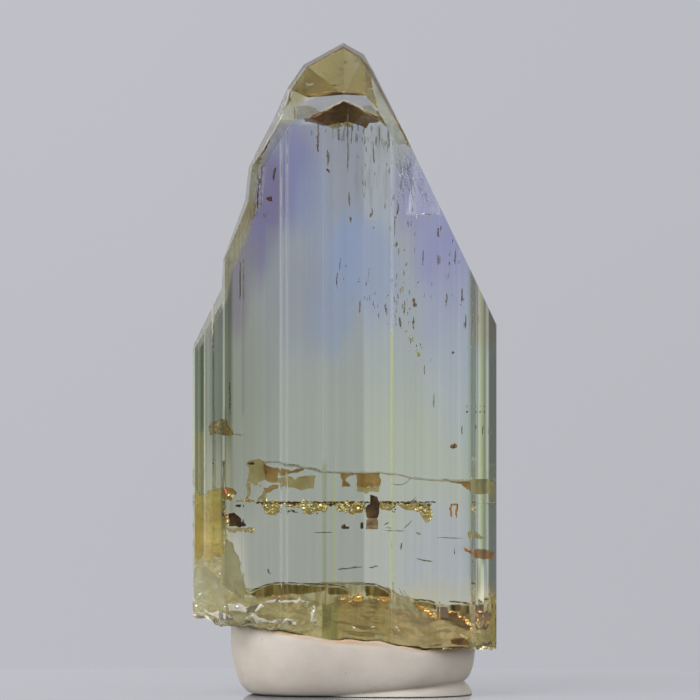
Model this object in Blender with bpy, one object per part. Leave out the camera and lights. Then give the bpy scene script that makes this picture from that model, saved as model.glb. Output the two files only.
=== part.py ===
"""Tanzanite crystal standing on a pad of white putty.

Upright crystal with a flat front face towards -Y. The origin is on the table,
under the middle of the crystal. Sizes below are in millimetres.
"""

import math

import bmesh
import bpy
from mathutils import Vector, noise

MM = 0.001

# Prism section, seen from above
HALF_DEPTH = 4.0
FRONT_LEFT_X = -5.49
FRONT_RIGHT_X = 5.81
SIDE_LEFT_X = -7.0
SIDE_RIGHT_X = 7.0
BACK_LEFT_X = -5.95
BACK_RIGHT_X = 6.25
FRONT_BEVEL_LEFT_Y = -1.9
FRONT_BEVEL_RIGHT_Y = -2.2
BACK_BEVEL_LEFT_Y = 2.8
BACK_BEVEL_RIGHT_Y = 2.7

# Growth lines: position along the face, width and height of each raised strip
FRONT_STRIPS = (
    (-4.62, 0.10, 0.03),
    (-2.83, 0.24, 0.06),
    (-1.39, 0.12, 0.04),
    (0.02, 0.10, 0.03),
    (4.55, 0.10, 0.03),
)
BACK_STRIPS = (
    (-3.95, 0.16, 0.05),
    (-2.10, 0.30, 0.04),
    (-1.04, 0.10, 0.05),
    (-0.69, 0.12, 0.06),
    (0.90, 0.16, 0.05),
    (2.20, 0.14, 0.07),
    (3.70, 0.40, 0.04),
    (5.20, 0.20, 0.05),
)
STRIP_FLANK = 0.05
BACK_BEVEL_STEPS = 3
TREAD_SHARE = 0.42
# Stepped front bevels, from the front face outwards: x, y of each edge
RIGHT_BEVEL = (
    (6.02, -3.56),
    (6.14, -3.50),
    (6.40, -3.27),
    (6.62, -2.95),
)
LEFT_BEVEL = (
    (-5.60, -3.86),
    (-5.98, -3.80),
    (-6.06, -3.55),
    (-6.38, -3.42),
    (-6.46, -3.20),
    (-6.88, -2.50),
)
# Grooves of the side faces: share along the face, width and depth of each
SIDE_GROOVES = (
    (0.12, 0.22, 0.060),
    (0.31, 0.33, 0.042),
    (0.50, 0.22, 0.024),
    (0.69, 0.33, 0.060),
    (0.88, 0.22, 0.042),
)
SIDE_GROOVE_SKEW = 0.3
BLANK_BOTTOM_Z = 0.8
BLANK_TOP_Z = 31.5

# Termination, from the left edge over the apex to the right edge. Each station
# gives x, z of the silhouette, of the front face's edge and of the back face's
# edge, and the depth y at which the silhouette's ridge lies.
STATIONS = (
    ((-6.97, 16.21), (-6.86, 15.93), (-6.50, 15.97), 2.20),
    ((-5.72, 18.75), (-5.53, 18.24), (-5.40, 18.86), 2.90),
    ((-5.67, 20.05), (-5.55, 19.96), (-5.02, 20.09), 3.25),
    ((-4.65, 22.83), (-4.43, 22.66), (-3.84, 22.69), 3.30),
    ((-4.47, 24.35), (-4.24, 24.35), (-3.63, 24.54), 3.30),
    ((-4.00, 25.33), (-3.63, 25.23), (-3.36, 25.09), 3.40),
    ((-3.36, 26.53), (-2.89, 26.53), (-2.85, 25.97), 3.20),
    ((-2.66, 28.01), (-2.43, 27.87), (-2.25, 26.25), 1.40),
    ((-1.88, 29.08), (-1.74, 28.89), (-1.69, 26.39), -0.60),
    ((-0.05, 30.07), (-0.05, 29.84), (0.00, 26.30), -0.95),
    ((0.90, 29.54), (0.78, 29.34), (1.00, 26.34), -0.70),
    ((1.32, 28.84), (1.24, 28.73), (1.64, 26.34), 0.60),
    ((3.03, 25.28), (3.03, 25.28), (3.06, 25.20), 3.70),
    ((7.01, 17.04), (7.01, 17.04), (7.00, 17.02), 3.70),
)
# Ledge on the back of the cap: for each station that has it, the x, y, z of the
# lower edge of the steep olive facet and of the foot of the short riser.
CAP_LEDGE = {
    7: ((-2.30, 1.80, 27.05), (-2.28, 2.05, 26.60)),
    8: ((-1.70, 1.55, 27.55), (-1.69, 1.95, 26.60)),
    9: ((0.00, 1.60, 27.69), (0.00, 1.74, 27.38)),
    10: ((1.00, 1.60, 27.64), (1.00, 1.92, 26.90)),
    11: ((1.58, 2.10, 26.95), (1.62, 2.50, 26.50)),
}
# Where the other stations' roof bends behind its ridge, as shares of its run
ROOF_BENDS = (1.0 / 3.0, 2.0 / 3.0)
CUT_REACH_X = 9.0
CUT_REACH_Y = 4.7
CUT_FLOOR_Z = -3.0

# Broken base: height of its front edge and of its back edge along x
BASE_FRONT = (
    (-9.0, 3.55),
    (-7.0, 3.45),
    (-4.8, 3.15),
    (-3.7, 3.01),
    (-0.7, 2.60),
    (1.6, 2.45),
    (3.5, 2.05),
    (5.8, 2.28),
    (7.0, 1.99),
    (9.0, 1.90),
)
BASE_BACK = (
    (-9.0, 4.20),
    (-7.0, 4.35),
    (-4.5, 4.68),
    (-3.4, 5.05),
    (1.0, 5.05),
    (2.1, 4.75),
    (2.6, 4.32),
    (4.4, 4.05),
    (9.0, 3.95),
)
BASE_CELL = 0.5
BASE_REACH_Y = 5.7
BASE_ROUGHNESS = 0.34
BASE_RIDGE_SCALE = 0.85
BASE_RIDGE_STRETCH = 1.4
BASE_RIDGE_MEAN = 0.6
BASE_RIDGE_PATCH = 4.0
BASE_FINE_SCALE = 2.55
BASE_FINE_SHARE = 0.5
BASE_FINE_PATCH = 9.0
BASE_FRONT_EDGE_SHARE = 0.25
BASE_FRONT_FADE = 1.5

# Chips broken out of the skin: point on the skin, outward direction, radius of
# the curved break and its depth
CHIPS = (
    ((-6.30, -2.95, 4.30), (-0.81, -0.58, -0.10), 3.0, 0.42),
    ((-4.70, -4.00, 2.95), (0.05, -1.00, -0.25), 2.2, 0.36),
    ((-2.70, -4.00, 2.70), (-0.10, -1.00, -0.35), 1.8, 0.30),
    ((-7.00, -0.40, 7.40), (-1.00, 0.00, 0.20), 0.5, 0.10),
)
CHIP_SUBDIVISIONS = 3
CHIP_RIPPLE = 0.02
CHIP_RIPPLE_SCALE = 2.2

# Feathery break beside the right slope: a tilted round-backed cut
FEATHER_X = 3.62
FEATHER_TOP_Z = 25.3
FEATHER_FOOT_Z = 22.12
FEATHER_RADIUS = 1.15
FEATHER_DEPTH = 0.28
FEATHER_SIDES = 18

# Open cracks, thin wedges that start at a face and close inside the crystal:
# x and z along the mouth, and the depth y of the sharp inner edge there
CRACK_WIDTH = 0.12
CRACK_MOUTH_Y = -4.4
CRACK = (
    (-4.10, 10.78, -3.95),
    (-3.77, 10.74, -3.30),
    (-2.72, 10.61, -1.60),
    (-1.79, 10.48, -0.30),
    (-1.09, 10.31, 0.50),
    (-0.18, 10.27, 1.30),
    (1.63, 10.27, 1.60),
    (2.59, 10.16, 1.20),
    (3.76, 9.96, 1.50),
    (4.87, 9.90, 1.90),
    (6.10, 9.88, 1.60),
    (7.40, 9.84, 1.20),
)
HEALED_MOUTH_Y = 4.4
HEALED_CRACK = (
    (-5.10, 8.93, 3.90),
    (-4.84, 8.92, 3.00),
    (-3.60, 8.90, 1.10),
    (-1.90, 8.87, 0.50),
    (0.40, 8.89, 0.30),
    (2.30, 8.88, 0.70),
    (3.50, 8.90, 1.90),
    (4.05, 8.91, 3.20),
    (4.25, 8.92, 3.90),
)

# Putty pad
PAD_CENTRE_X = 0.46
PAD_CENTRE_Y = -0.03
PAD_HALF_LENGTH = 5.67
PAD_HALF_DEPTH = 4.35
PAD_PLAN_POWER = 2.9
PAD_CROWN = 1.25
PAD_SHOULDER_POWER = 4.0
PAD_EQUATOR_SHARE = 0.40
PAD_FLAT_SHARE = 0.84
PAD_LIFT_SHARE = 0.32
PAD_LIFT_HEIGHT = 0.10
PAD_LUMP = 0.035
PAD_LUMP_SCALE = 0.32
PAD_SEGMENTS = 72
PAD_SIDE_RINGS = 6
PAD_TOP_RINGS = 9
GAP = 0.3

CRYSTAL_COLOUR = (0.47, 0.55, 0.52, 1.0)
CRYSTAL_ROUGHNESS = 0.03
CRYSTAL_IOR = 1.69
PUTTY_COLOUR = (0.80, 0.74, 0.68, 1.0)
PUTTY_ROUGHNESS = 0.62


def clear_scene():
    for item in list(bpy.data.objects):
        bpy.data.objects.remove(item, do_unlink=True)


def lerp(a, b, t):
    return a + (b - a) * t


def along(table, x):
    """Height at x on a polyline of (x, height) points."""
    for (x0, h0), (x1, h1) in zip(table, table[1:]):
        if x <= x1:
            return lerp(h0, h1, max(0.0, (x - x0) / (x1 - x0)))
    return table[-1][1]


def raised_strips(start, end, strips, outward):
    """Points along a flat face from start to end, with raised strips on it."""
    points = [start]
    side = 1.0 if end[0] > start[0] else -1.0
    for x, width, height in sorted(strips, key=lambda strip: side * strip[0]):
        for shift, rise in (
            (-0.5 * width - STRIP_FLANK, 0.0),
            (-0.5 * width, height),
            (0.5 * width, height),
            (0.5 * width + STRIP_FLANK, 0.0),
        ):
            points.append((x + side * shift, start[1] + outward * rise))
    return points


def stepped_bevel(start, end, steps, tread_first):
    """Points of a bevel that climbs in steps, from start towards end."""
    points = [start]
    for step in range(1, steps + 1):
        before = (step - 1) / steps
        after = step / steps
        tread = lerp(before, after, TREAD_SHARE)
        riser = lerp(before, after, 1.0 - TREAD_SHARE)
        if tread_first:
            share_x, share_y = riser, tread
        else:
            share_x, share_y = tread, riser
        points.append((lerp(start[0], end[0], share_x), lerp(start[1], end[1], share_y)))
        if step < steps:
            points.append((lerp(start[0], end[0], after), lerp(start[1], end[1], after)))
    return points


def grooved_side(start, end, inward):
    """Points along a side face with shallow vertical grooves."""
    points = [start]
    length = end[1] - start[1]
    for share, width, depth in SIDE_GROOVES:
        middle = start[1] + length * share
        half = math.copysign(0.5 * width, length)
        points.append((start[0], middle - half))
        points.append((start[0] + inward * depth, middle - SIDE_GROOVE_SKEW * half))
        points.append((start[0], middle + half))
    return points


def prism_section():
    """Outline of the prism seen from above, anticlockwise."""
    front_left = (FRONT_LEFT_X, -HALF_DEPTH)
    front_right = (FRONT_RIGHT_X, -HALF_DEPTH)
    right_front = (SIDE_RIGHT_X, FRONT_BEVEL_RIGHT_Y)
    right_back = (SIDE_RIGHT_X, BACK_BEVEL_RIGHT_Y)
    back_right = (BACK_RIGHT_X, HALF_DEPTH)
    back_left = (BACK_LEFT_X, HALF_DEPTH)
    left_back = (SIDE_LEFT_X, BACK_BEVEL_LEFT_Y)
    left_front = (SIDE_LEFT_X, FRONT_BEVEL_LEFT_Y)
    outline = raised_strips(front_left, front_right, FRONT_STRIPS, -1.0)
    outline += [front_right, *RIGHT_BEVEL]
    outline += grooved_side(right_front, right_back, -1.0)
    outline += stepped_bevel(right_back, back_right, BACK_BEVEL_STEPS, False)
    outline += raised_strips(back_right, back_left, BACK_STRIPS, 1.0)
    outline += stepped_bevel(back_left, left_back, BACK_BEVEL_STEPS, True)
    outline += grooved_side(left_back, left_front, 1.0)
    outline += [left_front, *reversed(LEFT_BEVEL)]
    return outline


def new_object(name, bm):
    """Object from a bmesh in millimetres."""
    bmesh.ops.scale(bm, vec=(MM, MM, MM), verts=bm.verts)
    bmesh.ops.recalc_face_normals(bm, faces=bm.faces)
    mesh = bpy.data.meshes.new(name)
    bm.to_mesh(mesh)
    bm.free()
    item = bpy.data.objects.new(name, mesh)
    bpy.context.scene.collection.objects.link(item)
    return item


def prism_blank():
    """Vertical prism with its growth lines, uncut at both ends."""
    bm = bmesh.new()
    lower = [bm.verts.new((x, y, BLANK_BOTTOM_Z)) for x, y in prism_section()]
    bottom = bm.faces.new(lower)
    raised = bmesh.ops.extrude_face_region(bm, geom=[bottom])["geom"]
    moved = [part for part in raised if isinstance(part, bmesh.types.BMVert)]
    bmesh.ops.translate(bm, vec=(0.0, 0.0, BLANK_TOP_Z - BLANK_BOTTOM_Z), verts=moved)
    return new_object("crystal", bm)


def beyond(inner, outer, reach):
    """The line from inner through outer, carried on to |y| = reach."""
    share = (math.copysign(reach, outer[1]) - inner[1]) / (outer[1] - inner[1])
    return tuple(lerp(a, b, share) for a, b in zip(inner, outer))


def station_points(index):
    """The five points of one station, from in front of the face to behind it."""
    outer, front, back, ridge_y = STATIONS[index]
    ridge = (outer[0], ridge_y, outer[1])
    front_edge = (front[0], -HALF_DEPTH, front[1])
    back_edge = (back[0], HALF_DEPTH, back[1])
    if index in CAP_LEDGE:
        upper, lower = CAP_LEDGE[index]
    else:
        upper, lower = (
            tuple(lerp(a, b, share) for a, b in zip(ridge, back_edge))
            for share in ROOF_BENDS
        )
    return [
        beyond(ridge, front_edge, CUT_REACH_Y),
        ridge,
        upper,
        lower,
        beyond(lower, back_edge, CUT_REACH_Y),
    ]


def run_out(near, far, x):
    """The line from near through far, carried on to the given x."""
    share = (x - near[0]) / (far[0] - near[0])
    return (x, far[1], lerp(near[2], far[2], share))


def termination_solid():
    """Solid under the sloping facets; the prism is kept where it lies inside."""
    rows = [station_points(index) for index in range(len(STATIONS))]
    first = [run_out(b, a, -CUT_REACH_X) for a, b in zip(rows[0], rows[1])]
    last = [run_out(b, a, CUT_REACH_X) for a, b in zip(rows[-1], rows[-2])]
    rows = [first] + rows + [last]
    bm = bmesh.new()
    grid = [[bm.verts.new(point) for point in row] for row in rows]
    top_faces = []
    for here, there in zip(grid, grid[1:]):
        for level in range(len(here) - 1):
            corners = (here[level], there[level], there[level + 1], here[level + 1])
            top_faces.append(bm.faces.new(corners))
    feet = [
        [bm.verts.new((row[end].co.x, row[end].co.y, CUT_FLOOR_Z)) for end in (0, -1)]
        for row in (grid[0], grid[-1])
    ]
    bm.faces.new([row[0] for row in grid] + [feet[1][0], feet[0][0]])
    bm.faces.new([row[-1] for row in grid] + [feet[1][1], feet[0][1]])
    bm.faces.new(grid[0] + [feet[0][1], feet[0][0]])
    bm.faces.new(grid[-1] + [feet[1][1], feet[1][0]])
    bm.faces.new([feet[0][0], feet[0][1], feet[1][1], feet[1][0]])
    bmesh.ops.triangulate(bm, faces=top_faces)
    return new_object("cut_termination", bm)


def smooth_base(x, y):
    """Height of the broken base without its roughness."""
    share = (y + HALF_DEPTH) / (2.0 * HALF_DEPTH)
    return lerp(along(BASE_FRONT, x), along(BASE_BACK, x), share)


def rough_base(x, y):
    """Height of the broken base: hackly ridges that fade at the front edge."""
    across = Vector((x, BASE_RIDGE_STRETCH * y, BASE_RIDGE_PATCH)) * BASE_RIDGE_SCALE
    ridge = 1.0 - 2.0 * abs(noise.noise(across))
    fine = noise.noise(Vector((x, y, BASE_FINE_PATCH)) * BASE_FINE_SCALE)
    inward = min(1.0, max(0.0, (y + HALF_DEPTH) / BASE_FRONT_FADE))
    share = lerp(BASE_FRONT_EDGE_SHARE, 1.0, inward)
    relief = ridge - BASE_RIDGE_MEAN + BASE_FINE_SHARE * fine
    return smooth_base(x, y) + share * BASE_ROUGHNESS * relief


def base_block(name, shift, upwards):
    """Block whose rough face is the broken base, reaching down or up from it."""
    columns = int(2.0 * CUT_REACH_X / BASE_CELL)
    rows = int(2.0 * CUT_REACH_Y / BASE_CELL)
    bm = bmesh.new()
    bmesh.ops.create_grid(bm, x_segments=columns, y_segments=rows, size=1.0)
    for vert in bm.verts:
        x = vert.co.x * CUT_REACH_X
        y = vert.co.y * BASE_REACH_Y
        vert.co = (x, y, rough_base(x, y) + shift)
    far_z = BLANK_TOP_Z if upwards else CUT_FLOOR_Z
    rim = [edge for edge in bm.edges if edge.is_boundary]
    skirt = bmesh.ops.extrude_edge_only(bm, edges=rim)["geom"]
    for part in skirt:
        if isinstance(part, bmesh.types.BMVert):
            part.co.z = far_z
    loop = [edge for edge in bm.edges if edge.is_boundary]
    bmesh.ops.holes_fill(bm, edges=loop)
    bmesh.ops.triangulate(bm, faces=[face for face in bm.faces if len(face.verts) == 4])
    return new_object(name, bm)


def chip_cutter(index, place, outward, radius, depth):
    """Ball that bites a shallow curved chip out of the skin."""
    bm = bmesh.new()
    bmesh.ops.create_icosphere(bm, subdivisions=CHIP_SUBDIVISIONS, radius=radius)
    centre = Vector(place) + Vector(outward).normalized() * (radius - depth)
    for vert in bm.verts:
        place_on_ball = vert.co * CHIP_RIPPLE_SCALE / radius + Vector((index, 0.0, 0.0))
        vert.co += vert.normal * CHIP_RIPPLE * radius * noise.noise(place_on_ball)
    bmesh.ops.translate(bm, vec=centre, verts=bm.verts)
    return new_object(f"cut_chip_{index}", bm)


def feather_cutter():
    """Tilted bar: its round back runs out at the top and ends in a step below."""
    height = FEATHER_TOP_Z - FEATHER_FOOT_Z
    bm = bmesh.new()
    bmesh.ops.create_circle(bm, cap_ends=True, radius=FEATHER_RADIUS, segments=FEATHER_SIDES)
    raised = bmesh.ops.extrude_face_region(bm, geom=list(bm.faces))["geom"]
    upper = {part for part in raised if isinstance(part, bmesh.types.BMVert)}
    for vert in bm.verts:
        vert.co.x += FEATHER_X
        vert.co.y -= HALF_DEPTH + FEATHER_RADIUS
        if vert in upper:
            vert.co.z = FEATHER_TOP_Z
        else:
            vert.co.y += FEATHER_DEPTH
            vert.co.z = FEATHER_TOP_Z - height
    return new_object("cut_feather", bm)


def crack_cutter(name, mouth_y, line):
    """Thin wedge whose sharp edge lies inside; its mouth is off the face."""
    half = 0.5 * CRACK_WIDTH
    bm = bmesh.new()
    sections = []
    for x, z, inner_y in line:
        corners = ((x, mouth_y, z + half), (x, inner_y, z), (x, mouth_y, z - half))
        sections.append([bm.verts.new(corner) for corner in corners])
    sides = []
    for here, there in zip(sections, sections[1:]):
        for corner in range(len(here)):
            quad = (here[corner - 1], there[corner - 1], there[corner], here[corner])
            sides.append(bm.faces.new(quad))
    bm.faces.new(sections[0])
    bm.faces.new(reversed(sections[-1]))
    bmesh.ops.triangulate(bm, faces=sides)
    return new_object(name, bm)


def boolean(item, cutter, operation):
    """Boolean modifier with a hidden wire cutter."""
    cutter.hide_render = True
    cutter.display_type = "WIRE"
    modifier = item.modifiers.new(cutter.name, "BOOLEAN")
    modifier.operation = operation
    modifier.solver = "EXACT"
    modifier.object = cutter


def plan_radius(angle):
    """Radius of the pad's widest outline in the direction of the angle."""
    power = PAD_PLAN_POWER
    along_x = abs(math.cos(angle) / PAD_HALF_LENGTH) ** power
    along_y = abs(math.sin(angle) / PAD_HALF_DEPTH) ** power
    return (along_x + along_y) ** (-1.0 / power)


def pad_point(angle, share, z):
    """Point of the pad at a share of its plan radius, with soft lumps."""
    radius = plan_radius(angle) * share
    x = radius * math.cos(angle)
    y = radius * math.sin(angle)
    lump = noise.noise(Vector((x, y, z)) * PAD_LUMP_SCALE) * PAD_LUMP * share * share
    return (PAD_CENTRE_X + x * (1.0 + lump), PAD_CENTRE_Y + y * (1.0 + lump), z)


def pad_profile(angle):
    """Points from the rim of the flat underside, over the side, onto the top."""
    rightward = max(0.0, math.cos(angle)) ** 2
    flat = PAD_FLAT_SHARE - PAD_LIFT_SHARE * rightward
    rim_x, rim_y, _ = pad_point(angle, 1.0, 0.0)
    edge_height = PAD_CROWN * smooth_base(rim_x, rim_y)
    equator = PAD_EQUATOR_SHARE * edge_height + PAD_LIFT_HEIGHT * rightward
    points = []
    for ring in range(PAD_SIDE_RINGS):
        turn = 0.5 * math.pi * ring / PAD_SIDE_RINGS
        share = lerp(flat, 1.0, math.sin(turn))
        points.append(pad_point(angle, share, equator * (1.0 - math.cos(turn))))
    for ring in range(PAD_TOP_RINGS):
        turn = 0.5 * math.pi * ring / PAD_TOP_RINGS
        share = math.cos(turn)
        x, y, _ = pad_point(angle, share, 0.0)
        crown = PAD_CROWN * smooth_base(x, y)
        rise = (1.0 - share**PAD_SHOULDER_POWER) ** (1.0 / PAD_SHOULDER_POWER)
        points.append((x, y, lerp(equator, crown, rise)))
    return points


def pad_lump():
    """Rounded lump of putty with a flat underside, before the imprint."""
    bm = bmesh.new()
    rings = []
    for segment in range(PAD_SEGMENTS):
        angle = 2.0 * math.pi * segment / PAD_SEGMENTS
        rings.append([bm.verts.new(point) for point in pad_profile(angle)])
    crown_z = PAD_CROWN * smooth_base(PAD_CENTRE_X, PAD_CENTRE_Y)
    crown = bm.verts.new((PAD_CENTRE_X, PAD_CENTRE_Y, crown_z))
    for here, there in zip(rings, rings[1:] + rings[:1]):
        for level in range(len(here) - 1):
            bm.faces.new((here[level], there[level], there[level + 1], here[level + 1]))
        bm.faces.new((here[-1], there[-1], crown))
    bm.faces.new([ring[0] for ring in reversed(rings)])
    return new_object("putty_pad", bm)


def principled(name, colour, roughness):
    """Principled material and its shader node."""
    material = bpy.data.materials.new(name)
    material.use_nodes = True
    material.diffuse_color = colour
    shader = material.node_tree.nodes["Principled BSDF"]
    shader.inputs["Base Color"].default_value = colour
    shader.inputs["Roughness"].default_value = roughness
    shader.inputs["Metallic"].default_value = 0.0
    return material, shader


def crystal_material():
    material, shader = principled("tanzanite", CRYSTAL_COLOUR, CRYSTAL_ROUGHNESS)
    shader.inputs["Transmission Weight"].default_value = 1.0
    shader.inputs["IOR"].default_value = CRYSTAL_IOR
    return material


def putty_material():
    material, _ = principled("putty", PUTTY_COLOUR, PUTTY_ROUGHNESS)
    return material


def make_crystal():
    crystal = prism_blank()
    boolean(crystal, termination_solid(), "INTERSECT")
    boolean(crystal, base_block("cut_base", 0.0, False), "DIFFERENCE")
    for index, (place, outward, radius, depth) in enumerate(CHIPS):
        boolean(crystal, chip_cutter(index, place, outward, radius, depth), "DIFFERENCE")
    boolean(crystal, feather_cutter(), "DIFFERENCE")
    boolean(crystal, crack_cutter("cut_crack", CRACK_MOUTH_Y, CRACK), "DIFFERENCE")
    boolean(crystal, crack_cutter("cut_healed", HEALED_MOUTH_Y, HEALED_CRACK), "DIFFERENCE")
    crystal.data.materials.append(crystal_material())
    return crystal


def make_pad():
    pad = pad_lump()
    boolean(pad, base_block("cut_imprint", -GAP, True), "DIFFERENCE")
    pad.data.materials.append(putty_material())
    return pad


def main():
    clear_scene()
    root = bpy.data.objects.new("tanzanite_specimen", None)
    bpy.context.scene.collection.objects.link(root)
    for item in (make_crystal(), make_pad()):
        item.parent = root


main()
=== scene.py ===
import math
import random

import bmesh
import bpy
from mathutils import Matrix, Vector, noise
from mathutils.bvhtree import BVHTree


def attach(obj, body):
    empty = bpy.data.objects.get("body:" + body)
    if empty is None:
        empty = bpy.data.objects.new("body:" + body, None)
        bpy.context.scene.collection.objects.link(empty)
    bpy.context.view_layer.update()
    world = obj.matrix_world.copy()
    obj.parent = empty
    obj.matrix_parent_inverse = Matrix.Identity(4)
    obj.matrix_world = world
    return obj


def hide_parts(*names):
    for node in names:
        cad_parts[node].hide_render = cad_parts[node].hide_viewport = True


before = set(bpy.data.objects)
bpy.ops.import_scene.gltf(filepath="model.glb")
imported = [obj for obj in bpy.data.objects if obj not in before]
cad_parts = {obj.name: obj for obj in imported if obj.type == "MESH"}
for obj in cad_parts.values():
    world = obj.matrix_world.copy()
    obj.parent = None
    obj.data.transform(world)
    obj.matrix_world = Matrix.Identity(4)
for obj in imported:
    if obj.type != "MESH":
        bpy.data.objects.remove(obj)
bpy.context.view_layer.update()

# Lengths are in millimetres until an object is made
MM = 0.001

# Seed of the noise that makes the plates' rims ragged, so that each run gives the same
NOISE_SEED = 5

# Columns and rows are the photograph's pixels, and PIXEL is one of them in millimetres
PIXEL = 0.0463
MIDDLE_COLUMN = 344.5
TABLE_ROW = 693.0
FRAME_PIXELS = 700

# Crystal: prism section
HALF_DEPTH = 4.0
FRONT_LEFT_X = -5.49
FRONT_RIGHT_X = 5.81
SIDE_X = 7.0
BACK_LEFT_X = -5.95
BACK_RIGHT_X = 6.25
FRONT_BEVEL_LEFT_Y = -1.9
FRONT_BEVEL_RIGHT_Y = -2.2
BACK_BEVEL_LEFT_Y = 2.8
BACK_BEVEL_RIGHT_Y = 2.7
RIGHT_BEVEL = ((6.02, -3.56), (6.14, -3.50), (6.40, -3.27), (6.62, -2.95))
LEFT_BEVEL = (
    (-5.60, -3.86),
    (-5.98, -3.80),
    (-6.06, -3.55),
    (-6.38, -3.42),
    (-6.46, -3.20),
    (-6.88, -2.50),
)

# The front outline seen from above, from the side faces to the front face
LEFT_FLANK = ((-SIDE_X, FRONT_BEVEL_LEFT_Y), *reversed(LEFT_BEVEL))
RIGHT_FLANK = ((FRONT_RIGHT_X, -HALF_DEPTH), *RIGHT_BEVEL, (SIDE_X, FRONT_BEVEL_RIGHT_Y))

# Growth lines: position, width of the strip, height (minus for a groove), flank
FRONT_STRIPS = (
    (-4.67, 0.04, 0.006, 0.04),
    (-2.92, 0.03, 0.012, 0.03),
    (-2.65, 0.03, 0.010, 0.03),
    (2.20, 0.03, 0.012, 0.03),
    (4.32, 0.04, 0.004, 0.05),
)
BACK_STRIPS = (
    (-3.30, 0.50, 0.006, 0.06),
    (-0.93, 0.06, -0.010, 0.06),
    (-0.48, 0.04, 0.014, 0.05),
    (0.90, 0.04, 0.006, 0.05),
    (2.20, 0.03, 0.030, 0.06),
    (5.20, 0.20, 0.006, 0.05),
)
SIDE_GROOVES = 7
SIDE_GROOVE_DEPTH = 0.05
SIDE_GROOVE_HALF_WIDTHS = (0.06, 0.16)
SIDE_STEPS = 3
STEP_TREAD = 0.42
STEP_RISER = 0.58

# Termination: silhouette, front edge and back edge of each station, ridge depth
STATIONS = (
    ((-6.97, 16.21), (-6.86, 15.93), (-6.50, 15.97), 2.20),
    ((-5.72, 18.75), (-5.53, 18.24), (-5.40, 18.86), 2.90),
    ((-5.67, 20.05), (-5.55, 19.96), (-5.02, 20.09), 3.25),
    ((-4.65, 22.83), (-4.43, 22.66), (-3.84, 22.69), 3.30),
    ((-4.47, 24.35), (-4.24, 24.35), (-3.63, 24.54), 3.30),
    ((-4.00, 25.33), (-3.63, 25.23), (-3.36, 25.09), 3.40),
    ((-3.36, 26.53), (-2.89, 26.53), (-2.85, 25.97), 3.20),
    ((-2.66, 28.01), (-2.43, 27.87), (-2.25, 26.25), 1.40),
    ((-1.88, 29.08), (-1.74, 28.89), (-1.69, 26.39), -0.60),
    ((-0.05, 30.07), (-0.05, 29.84), (0.00, 26.30), -0.95),
    ((0.90, 29.54), (0.78, 29.34), (1.00, 26.34), -0.70),
    ((1.32, 28.84), (1.24, 28.73), (1.64, 26.34), 0.60),
    ((3.03, 25.28), (3.03, 25.28), (3.06, 25.20), 3.70),
    ((7.01, 17.04), (7.01, 17.04), (7.00, 17.02), 3.70),
)
CAP_LEDGE = {
    7: ((-2.30, 1.80, 27.05), (-2.28, 2.05, 26.60)),
    8: ((-1.70, 1.55, 27.55), (-1.69, 1.95, 26.60)),
    9: ((0.00, 1.60, 27.69), (0.00, 1.74, 27.38)),
    10: ((1.00, 1.60, 27.64), (1.00, 1.92, 26.90)),
    11: ((1.58, 2.10, 26.95), (1.62, 2.50, 26.50)),
}
CUT_REACH_X = 9.0
CUT_REACH_Y = 4.7
CUT_FLOOR_Z = -3.0
BLANK_BOTTOM_Z = 0.8
BLANK_TOP_Z = 31.5

# Broken base: height of its lower edge over x at the front face and at the back
BASE_FRONT = (
    (-9.0, 3.55), (-7.0, 3.45), (-4.8, 3.15), (-3.7, 3.01), (-0.7, 2.60),
    (1.6, 2.45), (3.5, 2.12), (5.8, 2.24), (7.0, 1.55), (9.0, 1.40),
)
BASE_BACK = (
    (-9.0, 4.20), (-7.0, 4.35), (-4.5, 4.68), (-3.4, 4.95), (1.0, 4.86),
    (2.1, 4.62), (2.6, 4.32), (4.4, 4.05), (9.0, 3.95),
)
BASE_CELL = 0.24
BASE_ROUGHNESS = 0.34
BASE_ROUGH_SCALE = 0.85
BASE_RIDGE_STRETCH = 1.4
BASE_RIDGE_LEVEL = 0.6
BASE_SMALL_SHARE = 0.5
BASE_SMALL_SCALE = 3.0
BASE_FINE = 0.07
BASE_FINE_SCALES = (2.6, 3.4)
BASE_NOISE_SLICES = (4.0, 9.0, 2.0)
# The breaks are lower near the front face and near the back face
CALM_FRONT_DEPTH = 1.5
CALM_FRONT_SHARE = 0.25
CALM_BACK_Y = (1.8, 3.4)
CALM_BACK_SHARE = 0.30

# Curved chips: place, outward direction, radius of the break and its depth
CHIPS = (
    ((-6.30, -2.95, 4.30), (-0.81, -0.58, -0.10), 3.0, 0.42),
    ((-4.70, -4.00, 2.95), (0.05, -1.00, -0.25), 2.2, 0.36),
    ((-2.70, -4.00, 2.70), (-0.10, -1.00, -0.35), 1.8, 0.30),
    ((-7.00, -0.40, 7.40), (-1.00, 0.00, 0.20), 0.5, 0.10),
)
CHIP_RIPPLE = 0.006
CHIP_RIPPLES_PER_MM = 9.0
CHIP_LUMP = 0.03
CHIP_LUMP_SCALE = 2.2

# Feathery break beside the right slope
FEATHER_X = 3.62
FEATHER_TOP_Z = 25.3
FEATHER_FOOT_Z = 22.12
FEATHER_RADIUS = 1.15
FEATHER_DEPTH = 0.28
FEATHER_SIDES = 60
FEATHER_RIB = 0.035
FEATHER_RIB_SCALE = 9.0

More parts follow.
